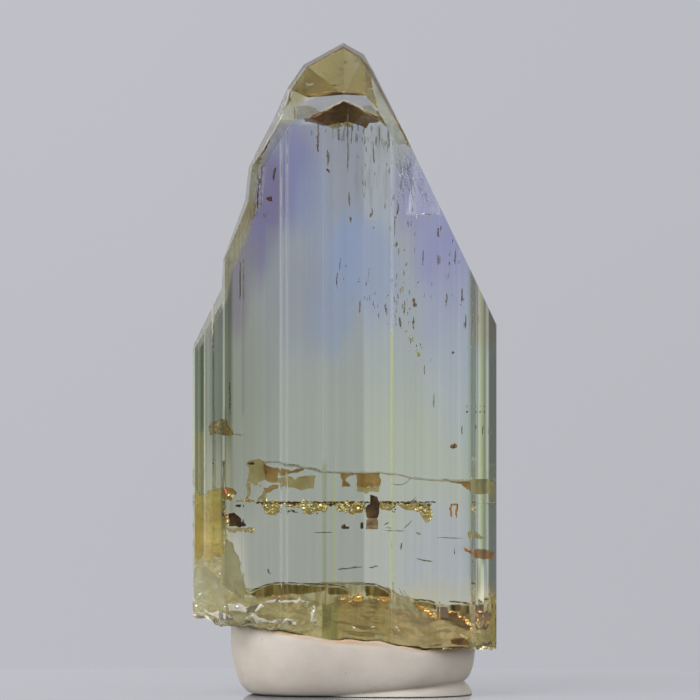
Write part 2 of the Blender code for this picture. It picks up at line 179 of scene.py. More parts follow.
# Putty pad
PAD_CENTRE_X = 0.44
PAD_CENTRE_Y = -0.03
PAD_HALF_LENGTH = 5.66
PAD_HALF_DEPTH = 4.30
PAD_PLAN_POWER = 2.9
PAD_CROWN = 1.33
PAD_SHOULDER_POWER = 4.0
PAD_END_POWER = 2.2
PAD_EQUATOR_SHARE = 0.56
PAD_FLAT_SHARE = 0.80
PAD_ROUND_POWER = 2.3
PAD_LUMP = 0.035
PAD_LUMP_SCALE = 0.32
PAD_SEGMENTS = 260
PAD_SIDE_RINGS = 46
PAD_TOP_RINGS = 30
PAD_SMOOTHINGS = 2
# The seat: the putty follows the broken base, with a low lip around the crystal
SEAT_GAP = 0.01
SEAT_LIP = 0.15
SEAT_LIP_WIDTH = 0.10
SEAT_SIDE_OVERLAP = 0.2
# Where the pad's left end begins to be rounder, as a share of the turn to it
PAD_END_START = 0.6
# Fold along the foot of the pad: where it starts and ends, and how high it rises
FOLD_START_X = -0.8
FOLD_END_X = 5.5
FOLD_FRONT_Y = 0.8
FOLD_BACK_Y = 2.8
FOLD_RISE = 0.57
FOLD_FULL_RISE = 0.3
FOLD_FLAT_SHARE = 0.88

# The clear crystal
IOR = 1.69
FILM_IOR = 1.30
ABSORPTION_COLOUR = (0.800, 0.690, 0.180, 1.0)
ABSORPTION_DENSITY = 16.0
TINT_LIFT = (1.14, 1.14, 1.14)
HEIGHT_LOW = 2.0
HEIGHT_HIGH = 30.0
WAVE_SCALE = 0.35
WAVE_HEIGHT = 2.2
STREAK_STRETCH = (2.2, 2.2, 0.10)
STREAK_HEIGHT = 1.6

# Tones up the crystal: photograph row and colour
LEFT_TONES = (
    (560, (0.66, 0.71, 0.62)),
    (420, (0.66, 0.73, 0.63)),
    (300, (0.60, 0.67, 0.72)),
    (150, (0.54, 0.58, 0.68)),
)
RIGHT_TONES = (
    (560, (0.86, 0.92, 0.82)),
    (430, (0.82, 0.90, 0.74)),
    (300, (0.68, 0.76, 0.86)),
    (150, (0.68, 0.72, 0.76)),
)
TONE_EDGE_COLUMN = 364
TONE_EDGE_SOFTNESS = 0.03

# Soft zones: middle column and row, half width and height, strength, colour
ZONES = (
    (292, 175, 34, 74, 0.95, (0.40, 0.42, 0.72)),
    (314, 205, 24, 60, 0.60, (0.48, 0.58, 0.80)),
    (252, 236, 34, 66, 0.95, (0.33, 0.31, 0.56)),
    (272, 190, 20, 60, 0.85, (0.32, 0.28, 0.50)),
    (236, 370, 46, 190, 0.70, (0.47, 0.49, 0.39)),
    (237, 290, 16, 60, 0.80, (0.40, 0.37, 0.44)),
    (300, 300, 44, 66, 0.50, (0.50, 0.54, 0.64)),
    (462, 548, 12, 14, 0.70, (0.62, 0.66, 0.50)),
    (352, 256, 36, 64, 0.95, (0.50, 0.62, 0.92)),
    (336, 312, 26, 50, 0.65, (0.50, 0.62, 0.86)),
    (318, 300, 18, 70, 0.50, (0.50, 0.58, 0.76)),
    (376, 270, 28, 80, 0.80, (0.58, 0.68, 0.94)),
    (384, 190, 26, 42, 0.60, (0.72, 0.80, 0.88)),
    (446, 248, 42, 62, 0.95, (0.54, 0.56, 0.98)),
    (452, 320, 40, 84, 0.80, (0.64, 0.69, 0.94)),
    (416, 195, 30, 48, 0.90, (0.56, 0.57, 0.90)),
    (465, 385, 50, 100, 0.60, (0.78, 0.88, 0.98)),
    (445, 560, 60, 75, 0.80, (0.82, 0.88, 0.95)),
)

# Vertical bands: middle column, half width, top and bottom row, strength, colour. The thin ones at columns
# 324.5, 334 and 392 are painted shade (324.5) and painted light (334, 392) where growth steps bend the
# light.
BANDS = (
    (281.6, 0.8, 134, 620, 0.55, (0.86, 0.90, 0.84)),
    (287.4, 0.8, 134, 620, 0.40, (0.84, 0.88, 0.84)),
    (243.6, 0.7, 240, 420, 0.60, (0.30, 0.32, 0.28)),
    (273.0, 7.0, 220, 470, 0.35, (0.44, 0.50, 0.46)),
    (324.5, 1.6, 455, 640, 0.60, (0.46, 0.52, 0.26)),
    (334.0, 0.9, 465, 640, 0.65, (0.74, 0.78, 0.36)),
    (392.0, 1.0, 325, 606, 0.90, (0.78, 0.86, 0.36)),
    (437.5, 0.8, 345, 445, 0.30, (0.86, 0.90, 0.86)),
    (466.5, 3.0, 300, 620, 0.25, (0.62, 0.70, 0.74)),
)
BAND_SOFT_COLUMNS = 0.8
BAND_SOFT_ROWS = 14

# Stripes of the two side bands, partly the crystal's tint and partly painted light and shade of the bevels
# they are seen through: photograph column and colour
LEFT_STRIPES = (
    (194, (0.90, 0.86, 0.50)),
    (198, (0.80, 0.92, 0.50)),
    (200.5, (0.62, 0.74, 0.40)),
    (203.4, (0.09, 0.13, 0.05)),
    (205.6, (0.40, 0.44, 0.22)),
    (209, (0.62, 0.70, 0.62)),
    (213, (0.24, 0.29, 0.20)),
    (217, (0.62, 0.68, 0.64)),
    (221.5, (0.60, 0.66, 0.60)),
    (223.6, (0.12, 0.14, 0.11)),
    (225.5, (0.60, 0.64, 0.54)),
    (231, (0.40, 0.44, 0.30)),
    (234, (1.00, 1.00, 1.00)),
)
RIGHT_STRIPES = (
    (468, (1.00, 1.00, 1.00)),
    (470, (0.52, 0.70, 0.46)),
    (472.4, (1.00, 1.00, 1.00)),
    (476, (0.40, 0.46, 0.38)),
    (479, (0.30, 0.36, 0.10)),
    (482, (0.055, 0.065, 0.024)),
    (484, (0.20, 0.24, 0.12)),
    (487, (0.90, 1.00, 0.80)),
    (490, (0.50, 0.55, 0.50)),
    (494, (0.50, 0.55, 0.50)),
    (496, (1.00, 1.00, 1.00)),
)
# Where the side stripes turn pale below and warm above: rows and x of the change
PALE_LEFT_ROWS = (415, 475)
PALE_LEFT_X = (-5.1, -5.3)
PALE_LEFT = (1.00, 0.98, 0.80)
WARM_RIGHT_ROWS = (360, 335)
WARM_RIGHT_X = (5.75, 5.95)
WARM_RIGHT = (1.0, 0.72, 0.48)
# Short bands beside the stripes, in the same form as the vertical bands
SIDE_BANDS = (
    (483.0, 2.6, 556, 628, 0.95, (0.34, 0.40, 0.36)),
    (477.6, 1.2, 556, 628, 0.70, (0.16, 0.14, 0.05)),
    (491.5, 5.0, 576, 640, 0.75, (1.00, 0.66, 0.20)),
    (214.2, 1.0, 336, 420, 0.60, (0.16, 0.12, 0.10)),
    (487.0, 1.2, 352, 480, 0.60, (1.00, 1.00, 0.80)),
    (224.0, 1.6, 400, 590, 0.80, (0.14, 0.15, 0.11)),
    (492.0, 3.0, 350, 478, 0.55, (0.22, 0.25, 0.22)),
    (199.5, 5.5, 425, 500, 0.80, (0.80, 0.70, 0.12)),
    (473.0, 1.8, 590, 630, 0.75, (0.26, 0.22, 0.10)),
)

# Growth streaks of the colour: stretch of the noise, where it sets in, share, colour
FINE_STRETCH = (9.0, 9.0, 0.03)
FINE_STREAKS = (0.40, 0.75, 0.09, (0.30, 0.32, 0.28))
BROAD_STRETCH = (3.0, 3.0, 0.02)
BROAD_STREAKS = (0.40, 0.65, 0.10, (0.32, 0.36, 0.34))
SMOKE_STRETCH = (4.5, 4.5, 0.45)
SMOKE_RANGE = (0.50, 0.66)
SMOKE_ZONE = (376, 150, 44, 70, 0.75)
SMOKE = (0.40, 0.42, 0.38)
LINE_STRETCH = (7.0, 7.0, 0.02)

# Warm foot of the crystal, and the milky lower left corner
FOOT_ROWS = (580, 605)
FOOT_SHARE = 0.85
FOOT = (1.0, 0.90, 0.64)
MILKY_COLUMNS = (252, 236)
MILKY_ROWS = (500, 570)
MILKY = (1.0, 0.97, 0.82)

# The stepped left rim: photograph column and row, from its foot to the cap
LEFT_RIM = (
    (360, 195), (314, 222), (297, 229), (272, 233), (239, 248), (218, 254), (168, 261),
    (151, 264), (140, 269), (130, 276), (120, 288),
)
RIM_FADE = 1.0
RIM_TONES = ((0.43, 0.44, 0.28), (0.58, 0.56, 0.42))
RIM_ROUGHNESS = 0.24

# The cap: where it starts, its two tones, its edges, its rim and two soft spots
CAP_ROWS = (127, 120)
CAP_OLIVE = (0.98, 1.00, 0.94)
CAP_RIGHT = (0.86, 1.00, 1.00)
CAP_RIGHT_COLUMNS = (364, 368)
CAP_EDGES = (315.0, 346.0, 362.0)
CAP_EDGE_TONE = (0.66, 0.66, 0.40)
CAP_RIM = ((292, 90), (304, 71), (343, 50), (358, 59), (368, 73), (378, 92), (392, 118))
CAP_RIM_TONE = (0.34, 0.27, 0.24)
CAP_RIM_ROUGHNESS = 0.40
CAP_LIGHT_ZONE = (311, 84, 16, 14, 1.0)
CAP_LIGHT = (0.90, 1.00, 1.00)
CAP_DARK_ZONE = (297, 96, 13, 18, 1.0)
CAP_DARK = (0.62, 0.58, 0.36)

# The pale band over the brown arch, painted reflection of the whitish facet under the cap: its lower and
# upper line as column and row
ARCH_TOP = ((296, 124), (308, 120), (323, 112), (344, 101), (358, 107), (372, 115), (380, 123))
BAND_TOP = ((296, 121), (300, 105), (323, 95), (344, 93), (368, 96), (374, 106), (381, 119))
REFLECTION_BAND_TONES = ((0.74, 0.76, 0.74), (0.62, 0.64, 0.68))
LINE_TOP = 32.0

# Putty and table
PUTTY_TONES = ((0.37, 0.33, 0.28), (0.42, 0.38, 0.33))
# Painted shade in the putty's pits
PUTTY_PIT_SHADE = (0.20, 0.17, 0.13)
# Brown tint on the front of the putty just under the seat line, and the depths over which it fades in
PUTTY_SEAM_BROWN = (0.34, 0.22, 0.12)
SEAM_FRONT_Y = (-2.4, -3.4)
SUBSURFACE_RADIUS = (0.0012, 0.0008, 0.0006)
# The putty's upper edge: photograph column and row
SEAT_LINE = ((236, 620), (262, 627), (330, 638), (380, 641), (420, 647), (445, 649), (474, 645))
TABLE_TONES = ((0.28, 0.28, 0.29), (0.32, 0.32, 0.33))

# Looks of the inclusions: scale, tones from dark to light, and what is unlike a plain look
GLINT = dict(rough=(0.12, 0.30), metal=1.0, bump=0.2)
LOOKS = {
    "iron_rust": (1.6, ((0.62, 0.24, 0.06), (0.86, 0.42, 0.12), (0.95, 0.62, 0.24)), dict(clear=0.75)),
    "iron_brown": (1.4, ((0.55, 0.30, 0.09), (0.74, 0.46, 0.17), (0.86, 0.64, 0.30)), dict(clear=0.80)),
    "iron_tan": (1.4, ((0.66, 0.50, 0.22), (0.84, 0.70, 0.36), (0.94, 0.84, 0.56)), dict(clear=0.85)),
    "clay_block": (1.0, ((0.36, 0.27, 0.11), (0.52, 0.41, 0.18), (0.64, 0.55, 0.29)), dict(clear=0.30)),
    "iron_khaki": (0.7, ((0.88, 0.78, 0.36), (1.00, 0.94, 0.58), (1.00, 1.00, 0.78)), dict(clear=0.30)),
    "iron_column": (0.7, ((0.72, 0.54, 0.12), (0.92, 0.74, 0.22), (1.00, 0.88, 0.34)), dict(clear=0.30)),
    "clay_haze": (0.6, ((0.66, 0.62, 0.36), (0.78, 0.74, 0.48), (0.86, 0.84, 0.60)), dict(clear=0.75)),
    "iron_barred": (
        1.0, ((0.14, 0.09, 0.02), (0.42, 0.32, 0.10), (0.84, 0.70, 0.32)),
        dict(clear=0.30, stretch=(5.0, 1.0, 0.5)),
    ),
    "iron_umber": (1.6, ((0.12, 0.05, 0.01), (0.28, 0.14, 0.04), (0.50, 0.30, 0.10)), dict(clear=0.15)),
    "shard_green": (2.0, ((0.60, 0.86, 0.66), (0.80, 1.00, 0.84), (0.95, 1.00, 0.92)), dict(clear=0.40)),
    "fan_grey": (2.0, ((0.44, 0.46, 0.36), (0.68, 0.70, 0.58), (0.90, 0.92, 0.80)), dict(clear=0.40)),
    "clay_taupe": (0.9, ((0.50, 0.36, 0.18), (0.72, 0.56, 0.33), (0.86, 0.74, 0.50)), dict(clear=0.30)),
    "iron_patch": (
        6.0, ((0.38, 0.22, 0.07), (0.74, 0.52, 0.20), (0.95, 0.82, 0.40)),
        dict(rough=(0.6, 0.8), bump=0.6),
    ),
    "feather_white": (
        1.8, ((0.72, 0.72, 0.70), (0.90, 0.90, 0.90), (1.00, 1.00, 1.00)),
        dict(rough=(0.3, 0.5), metal=0.85),
    ),
    # Dark grains and films, and the painted shade line along the base's far edge
    "graphite_and_edge_shade": (2.2, ((0.05, 0.03, 0.015), (0.14, 0.08, 0.04), (0.34, 0.18, 0.09)), {}),
    "graphite_grey": (2.2, ((0.34, 0.27, 0.20), (0.56, 0.50, 0.40), (0.74, 0.70, 0.60)), dict(clear=0.55)),
    "rust_red": (2.6, ((0.34, 0.18, 0.08), (0.56, 0.34, 0.18), (0.74, 0.54, 0.34)), dict(clear=0.30)),
    "clay_pink": (2.2, ((0.44, 0.26, 0.15), (0.76, 0.54, 0.36), (0.95, 0.78, 0.60)), dict(clear=0.40)),
    "straw_grains": (2.2, ((0.62, 0.58, 0.22), (0.90, 0.86, 0.40), (0.98, 0.96, 0.66)), {}),
    "amber_film": (3.2, ((0.54, 0.36, 0.12), (0.90, 0.72, 0.32), (1.00, 0.94, 0.62)), dict(clear=0.80)),
    "gold_glint": (3.0, ((0.86, 0.62, 0.24), (1.00, 0.86, 0.48), (1.00, 0.96, 0.74)), GLINT),
    "orange_glint": (3.0, ((0.90, 0.42, 0.12), (1.00, 0.66, 0.26), (1.00, 0.90, 0.60)), GLINT),
    "red_glint": (
        3.0, ((0.60, 0.12, 0.04), (0.90, 0.26, 0.10), (1.00, 0.50, 0.24)),
        dict(rough=(0.2, 0.4), metal=0.6, bump=0.2),
    ),
    "white_glint": (
        3.0, ((0.80, 0.80, 0.74), (1.00, 1.00, 0.96), (1.00, 1.00, 1.00)),
        dict(rough=(0.1, 0.3), metal=0.9, bump=0.2),
    ),
    # Pale sheets that paint the reflection in the curved breaks of the base
    "pale_break_reflection": (
        3.0, ((0.27, 0.25, 0.17), (0.37, 0.34, 0.26), (0.48, 0.46, 0.40)), dict(rough=(0.4, 0.6)),
    ),
    "fleck_pale": (3.0, ((0.40, 0.37, 0.30), (0.66, 0.62, 0.54), (0.90, 0.88, 0.80)), dict(clear=0.40)),
    # Pale sheets that paint the reflection along the slopes and on the ledge
    "pale_sheet_reflection": (1.2, ((0.80, 0.79, 0.64), (0.95, 0.95, 0.82), (1.00, 1.00, 0.95)), dict(clear=0.30)),
}

# Plates inside the crystal: cell of their mesh, and how far they stay from the sides
CELL = 0.046
SIDE_MARGIN = 0.16
PILLOW_STEPS = 6
RAGGED_SCALES = (3.1, 9.0)
RAGGED_FINE_SHARE = 0.4
HOLE_SCALE = 2.4
RELIEF_SCALES = (2.6, 8.0)
RELIEF_FINE_SHARE = 0.4
PLATE_RIM_SHARE = 0.25

# Sticks and hairs: length of a segment, sides, and how uneven they are
STICK_STEP = 0.12
STICK_SIDES = 5
STICK_WANDER = 0.25
STICK_END_SHARE = 0.25
STICK_SIZES = (0.7, 1.3)
STICK_TWIST = 0.2

# Grains: how uneven they are, and how far they reach to the sides
GRAIN_SIZES = (0.65, 1.25)
GRAIN_LEAN = 0.3
GRAIN_DEPTH_SHARE = 0.6
GRAIN_REACH = 6.94

# Level cracks: spacing of their stations, rows into the depth, uneven near and far edges
SHEET_STEP = 0.10
SHEET_ROWS = 18
SHEET_NEAR_WAVE = 0.25
SHEET_FAR_WAVE = 1.2
SHEET_ROUGH = 0.03

# Upper inclusions: start, end, width in pixels, depth
HAIRS = (
    ((347.8, 108), (347.8, 172), 1.3, 1.2), ((318.5, 124), (318.0, 152), 2.4, 0.6),
    ((327.5, 150), (328.0, 166), 3.2, 0.2), ((349.2, 191), (349.2, 207), 1.8, -1.0),
    ((373.3, 146), (373.6, 164), 1.4, 0.8), ((398.5, 204), (396.0, 216), 1.8, -0.8),
    ((394.5, 216), (394.0, 236), 1.0, -0.6), ((440.5, 226), (438.0, 238), 1.6, -1.4),
    ((422.8, 250), (422.4, 263), 1.3, -0.4), ((438.2, 255), (438.0, 265), 2.2, -1.6),
    ((454.6, 252), (454.2, 264), 1.3, -1.2), ((337.4, 272), (337.0, 289), 1.8, -0.9),
    ((341.0, 258), (339.0, 271), 1.2, -0.9), ((392.0, 277), (391.6, 289), 1.6, 0.2),
    ((399.0, 316), (401.2, 328), 2.0, -0.4), ((413.0, 316), (413.0, 330), 1.3, 0.4),
    ((446.5, 293), (445.5, 306), 1.5, -0.8), ((461.7, 288), (461.0, 302), 1.4, -1.4),
    ((465.2, 314), (464.6, 329), 1.6, -1.8), ((424.0, 364), (423.8, 375), 1.2, -0.6),
    ((433.4, 393), (433.0, 407), 1.2, -0.6), ((461.7, 424), (461.5, 434), 1.2, -0.4),
    ((360.3, 300), (359.6, 313), 1.4, 0.5), ((385.0, 303), (386.5, 315), 1.6, 0.5),
    ((369.0, 268), (368.2, 281), 1.0, 0.3), ((404.5, 300), (403.5, 314), 1.6, 0.3),
)
STREAKS = (
    ((312, 130), (312, 136), 1.0, 1.6), ((333, 123), (333, 131), 1.2, 2.4),
    ((338, 122), (338, 134), 1.4, 2.4), ((345, 123), (345, 130), 1.2, 2.2),
    ((352, 124), (352, 139), 1.4, 2.4), ((358, 124), (358, 131), 1.0, 2.2),
    ((364, 123), (364, 136), 1.2, 2.4), ((371, 124), (371, 132), 1.3, 2.4),
    ((379, 126), (380, 141), 1.4, 2.4), ((388, 130), (389, 144), 1.6, 2.6),
    ((258, 152), (256, 176), 2.0, 1.4), ((262, 160), (261, 190), 1.4, 1.6),
    ((258.5, 184), (257.5, 209), 1.8, 1.2), ((252, 196), (251, 222), 1.2, 1.6),
    ((276, 168), (274, 181), 2.6, -1.2), ((292, 90), (286, 112), 1.8, 2.2),
    ((296, 84), (292, 98), 1.4, 2.0), ((230.7, 381), (231.0, 414), 1.6, -2.0),
    ((214.0, 300), (213.6, 345), 1.2, -2.4), ((241, 262), (240.5, 300), 1.2, -1.0),
)
# Specks: place, width and height in pixels, depth
RED_SPECKS = (
    ((328.0, 171), 3.2, 5.0, 0.2), ((350.9, 219), 3.6, 7.5, -0.8), ((370.9, 216), 3.2, 7.0, 0.2),
    ((395.7, 243), 3.0, 6.5, -0.6), ((269.6, 198.5), 7.5, 6.5, -1.8), ((414.0, 303), 5.0, 10.0, -0.4),
    ((400.4, 321), 3.5, 6.0, -0.4), ((452.0, 352.6), 2.6, 4.0, -1.2), ((466.4, 411.5), 3.0, 4.5, -1.6),
    ((466.0, 405), 1.8, 3.0, -1.6), ((453.4, 445.7), 8.5, 7.0, -1.4), ((413, 322), 2.4, 5.0, 0.4),
)
PALE_SPECKS = (
    ((402.7, 289), 3.0, 6.0, 0.2), ((403.9, 307), 3.6, 5.0, 0.2), ((412, 340), 3.4, 6.0, -0.6),
    ((418, 355), 4.0, 6.0, -0.6), ((406, 331), 2.4, 4.0, 0.0), ((421, 346), 2.2, 4.0, -0.4),
    ((398, 298), 2.2, 3.4, 0.2), ((409, 349), 2.2, 3.0, -0.4), ((387, 296), 2.0, 4.0, 0.3),
)
# Rows by which a hair's upper end stays in front of the faces behind it
CLEAR_ROWS = 2.0

# Open and healed cracks: column and row along them
CRACK = (
    (263, 461), (278.6, 460.3), (285.8, 463.9), (296.7, 464.8), (305.8, 466.6), (314.8, 468.2),
    (321, 470.3), (340.7, 471.2), (379.7, 471.2), (389, 472.4), (400.4, 473.5), (409.6, 476.4),
    (425.6, 478), (449.7, 479.3), (468, 479.0),
)
HEALED_CRACK = ((236, 500.6), (290, 502), (344, 502.6), (400, 503), (432, 503.6))
CRACK_LOOP = ((392, 482), (395, 482.8), (399, 483.3), (403, 482.6), (406, 481), (409.6, 477.4))
# Stained films: outline in columns and rows, depth or None just behind the front, open share
BROWN_FILMS = (
    (((341.8, 471.8), (356.7, 471.8), (356.7, 474), (348, 475), (345.5, 479), (349, 482), (351, 485),
      (342.5, 486)), -1.0, 0.0),
    (((356.0, 471.8), (380.3, 471.8), (380.5, 480), (379.8, 486), (357.4, 486)), -1.0, 0.0),
    (((278.6, 467.5), (291, 468.5), (305, 468), (297, 472), (279.5, 474)), -1.5, 0.0),
    (((439, 478), (452, 478.7), (469.3, 478.7), (470, 489), (462, 484.5), (452, 480.5)), -1.5, 0.0),
    (((263, 464), (279, 467), (279, 480), (272, 482), (266, 478)), -1.3, 0.12),
    (((262, 489), (270, 484), (279, 483), (279, 486.5), (268, 491)), -1.3, 0.0),
    (((224, 484.5), (232, 487), (237.4, 490), (236, 494.7), (229, 496), (225, 492)), -3.0, 0.0),
)
TAN_FILMS = (
    (((247, 459), (263, 459), (266, 466), (266, 476), (262, 480), (256, 484), (249, 479)), -1.3, 0.10),
    (((247, 480), (252, 482), (250, 497), (246, 499)), -1.3, 0.10),
    (((279, 476.6), (297, 476.5), (315.7, 475), (315.0, 488), (297, 487), (279, 485)), -0.6, 0.12),
    (((258.6, 498), (263, 490), (267.7, 491), (264, 501)), -1.2, 0.0),
    (((357.4, 485), (380, 485), (379, 491), (358, 490.5)), -0.95, 0.25),
    (((224, 525.5), (240, 526), (256, 524.6), (252, 532), (242, 531), (230, 529)), -2.6, 0.0),
    (((466, 528), (471.5, 529), (480.7, 535), (478.4, 537), (470, 535), (467, 539.5)), None, 0.0),
    (((414, 531), (419, 532), (421.5, 534.8), (417, 533.8)), -0.6, 0.0),
)
RUST_FILMS = (
    (((461, 543.5), (465, 545.5), (468, 547.6), (472.7, 547), (474, 556), (468, 549.5), (464, 548.4)),
     None, 0.0),
    (((472, 547), (480, 547), (487.6, 548.7), (495.0, 553), (495.0, 558), (482, 556.5), (472.7, 556)),
     None, 0.0),
    (((449.7, 502.0), (457.8, 502.0), (457.8, 504.0), (449.7, 504.0)), -1.0, 0.0),
    (((449.7, 503), (451.6, 503), (451.6, 516), (449.9, 516)), -1.0, 0.0),
    (((455.2, 503), (457.4, 503), (457.2, 518), (455.4, 518)), -1.0, 0.10),
)
DARK_FILMS = (
    (((228.8, 511), (236, 511), (241, 515.5), (247.5, 523.5), (240, 524.8), (229, 524)), -2.8, 0.0),
    (((370.5, 494), (377, 495.5), (379.7, 502), (379, 505), (378.5, 512), (377.5, 517.7), (367.5, 517.7),
      (364.8, 508), (368, 504), (371, 503)), -0.4, 0.0),
    (((341.5, 528), (344.5, 522.5), (346.3, 526), (347.8, 524.8), (350, 528)), 0.4, 0.0),
    (((360, 521), (362.6, 521), (362.6, 528), (360.3, 528)), 0.2, 0.0),
    (((236, 503.6), (241.5, 503.2), (241.5, 505.8), (236.4, 506)), -1.0, 0.0),
    (((248, 462), (254, 460.5), (256, 463), (252, 464.5)), -1.4, 0.0),
)
PINK_FILMS = (
    (((366.5, 517.5), (377.8, 517.5), (378.2, 528), (366, 528)), -0.4, 0.08),
    (((343, 523), (341, 527), (349, 527.6)), 0.5, 0.0),
)
# Short cracks: start, end and width in pixels
DASHES = (
    ((314, 531.2), (333, 530.6), 1.0), ((384, 529), (404, 529.6), 0.9), ((404, 527), (411.5, 519), 0.9),
    ((437, 536), (462, 537), 0.9), ((338, 567.5), (362, 565.5), 1.6), ((369, 566), (378, 564.5), 2.2),
    ((416, 557), (432, 560), 1.4), ((235, 433.3), (243, 434.4), 1.2), ((453.7, 546), (454, 553), 1.1),
    ((409, 502), (415.5, 496.5), 1.3), ((414, 501), (416.5, 498), 1.0), ((423, 503), (428, 500), 1.0),
    ((401.5, 541), (400.5, 548), 1.8), ((268, 567), (271, 573), 1.8), ((226, 550), (220, 564), 1.5),
    ((283, 463), (300, 464.6), 1.8), ((300, 466), (313, 467.2), 1.2), ((315, 467.2), (321.5, 472), 2.6),
    ((384, 524), (389, 520.5), 1.4), ((386, 526), (392, 527), 1.0),
)
DASH_DEPTHS = (-1.0, -0.8)
# Runs of grains: columns and rows at both ends, half height, count, smallest and largest
GOLD_RUNS = (
    (238, 262, 499.6, 500.6, 1.2, 14, 1.4, 3.2), (262, 280, 503.5, 503.5, 4.0, 24, 1.8, 5.0),
    (264, 277, 509.5, 510.0, 3.0, 12, 1.8, 4.4), (284, 302, 503.5, 503.5, 3.0, 16, 1.8, 4.6),
    (302, 326, 505.0, 505.5, 4.5, 34, 1.8, 6.4), (303, 318, 511.0, 511.0, 2.5, 10, 1.6, 3.6),
    (337, 364, 505.5, 505.5, 4.5, 40, 1.8, 6.8), (344, 360, 510.5, 510.5, 2.5, 12, 1.8, 5.4),
    (379, 394, 504.5, 504.5, 3.5, 16, 1.6, 4.2), (395, 408, 503.0, 503.0, 1.6, 8, 1.4, 3.0),
    (408, 420, 505.5, 508.0, 4.0, 16, 1.6, 4.4), (420, 431, 509.0, 514.0, 7.0, 32, 1.6, 4.6),
)
DARK_RUNS = (
    (256, 300, 502.0, 502.0, 1.2, 22, 1.2, 3.2), (286, 328, 502.0, 502.0, 1.6, 22, 1.2, 3.2),
    (288, 302, 510.5, 510.5, 1.4, 8, 1.2, 2.8), (326, 340, 503.5, 503.5, 2.0, 10, 1.2, 3.2),
    (340, 362, 503.0, 503.0, 2.4, 14, 1.2, 3.4), (381, 410, 502.4, 502.4, 1.2, 16, 1.2, 2.8),
    (419, 429, 508.0, 508.0, 6.0, 10, 1.2, 3.0), (392, 396, 508.0, 508.0, 4.0, 5, 1.2, 2.6),
)
ROW_FILMS = (
    (((240, 498.6), (262, 500.0), (262, 502.2), (240, 500.8)), 0.45, 0.0),
    (((261, 501), (281, 501), (280, 508), (276, 515), (268, 513), (262, 507)), 0.45, 0.12),
    (((284, 501), (303, 501), (301, 507), (285, 506.5)), 0.45, 0.10),
    (((302, 501), (327, 501), (325, 510), (318, 511), (310, 514), (303, 510)), 0.45, 0.08),
    (((327, 501), (338, 501), (337, 505), (328, 505)), 0.45, 0.15),
    (((337, 501), (365, 501), (363, 512), (350, 512), (338, 507)), 0.45, 0.06),
    (((379, 501), (396, 501), (393, 509), (380, 509)), 0.45, 0.12),
    (((396, 501), (420, 501), (420, 509), (410, 511), (398, 505)), 0.45, 0.20),
    (((418, 501), (431, 503), (431, 520), (427, 523), (420, 514)), 0.45, 0.12),
)
# The dark lip along the straight top of the golden row
ROW_TOP = 501.0
ROW_DEPTH = 0.3
LIP_COLUMNS = (256, 432)
LIP_PITCH = 6
LIP_BREAK = (364, 380)
LIP_LENGTH = 5.6
LIP_DROP = 0.4
LIP_WIDTH = 1.5

# Broken base: glints of gold over the khaki crust
BASE_GLINTS = (
    (340, 350, 597.0, 596.0, 2.6, 16, 1.8, 4.6), (350, 363, 597.5, 598.0, 3.4, 24, 2.6, 7.6),
    (369, 378, 597.0, 597.0, 2.6, 12, 1.8, 5.2), (378, 391, 598.0, 597.0, 3.2, 22, 2.4, 7.0),
    (254, 268, 597.0, 593.0, 1.4, 10, 1.4, 3.2), (268, 300, 594.0, 595.5, 1.4, 20, 1.4, 3.6),
    (415, 424, 604.5, 607.0, 2.2, 18, 2.0, 5.6), (424, 436, 608.0, 616.0, 2.4, 24, 1.8, 5.2),
    (449, 456, 610.0, 610.5, 2.0, 12, 2.0, 5.6), (456, 469, 612.0, 622.0, 2.4, 24, 1.6, 5.0),
    (460, 469, 632.5, 636.0, 0.8, 9, 1.4, 3.0), (442, 448, 644.5, 643.5, 0.8, 4, 1.2, 2.4),
    (491, 495, 600.0, 604.0, 3.4, 9, 1.8, 4.6), (258, 262, 486.0, 486.0, 0.6, 3, 1.2, 2.0),
)
YELLOW_GLINTS = (
    (470.0, 470.8, 620.0, 640.0, 1.0, 16, 1.2, 2.8), (473.4, 474.2, 620.0, 644.0, 1.0, 18, 1.2, 2.8),
    (476.6, 477.2, 619.0, 640.0, 1.0, 12, 1.2, 2.6), (486.4, 487.4, 621.0, 626.0, 1.0, 6, 1.4, 2.8),
)
WHITE_GLINTS = (
    (201.5, 202.5, 592.0, 592.0, 0.6, 3, 2.0, 3.6), (197.0, 198.2, 604.0, 604.6, 0.6, 3, 2.4, 4.0),
    (225.6, 226.6, 603.0, 603.6, 0.6, 3, 2.0, 3.6), (219.6, 221.0, 575.0, 571.0, 0.8, 4, 1.4, 2.6),
    (352.6, 354.2, 623.0, 625.0, 0.8, 4, 1.6, 3.2), (371.8, 373.0, 623.0, 623.4, 0.6, 3, 1.4, 2.6),
    (292.0, 296.0, 619.5, 620.5, 1.2, 6, 2.0, 4.2), (313.5, 316.5, 603.0, 622.0, 1.2, 16, 1.2, 2.8),
    (443.0, 444.4, 644.6, 644.2, 0.6, 3, 1.2, 2.4), (394.0, 399.0, 621.0, 628.0, 1.4, 5, 1.2, 2.4),
    (197.0, 197.8, 470.0, 520.0, 1.0, 6, 1.0, 2.0), (237, 243, 603.0, 603.4, 0.8, 4, 1.6, 3.0),
)
RED_GLINTS = (
    (226.0, 228.4, 487.0, 491.0, 1.0, 6, 2.0, 4.2), (227.4, 229.0, 512.0, 515.0, 1.0, 5, 2.0, 4.0),
)
AMBER_GLINTS = (
    (229.0, 234.0, 492.0, 494.0, 1.2, 8, 2.0, 4.4), (228.6, 229.6, 517.0, 522.0, 0.8, 6, 1.6, 3.2),
    (240.0, 256.0, 529.0, 527.0, 1.0, 6, 1.4, 3.0),
)
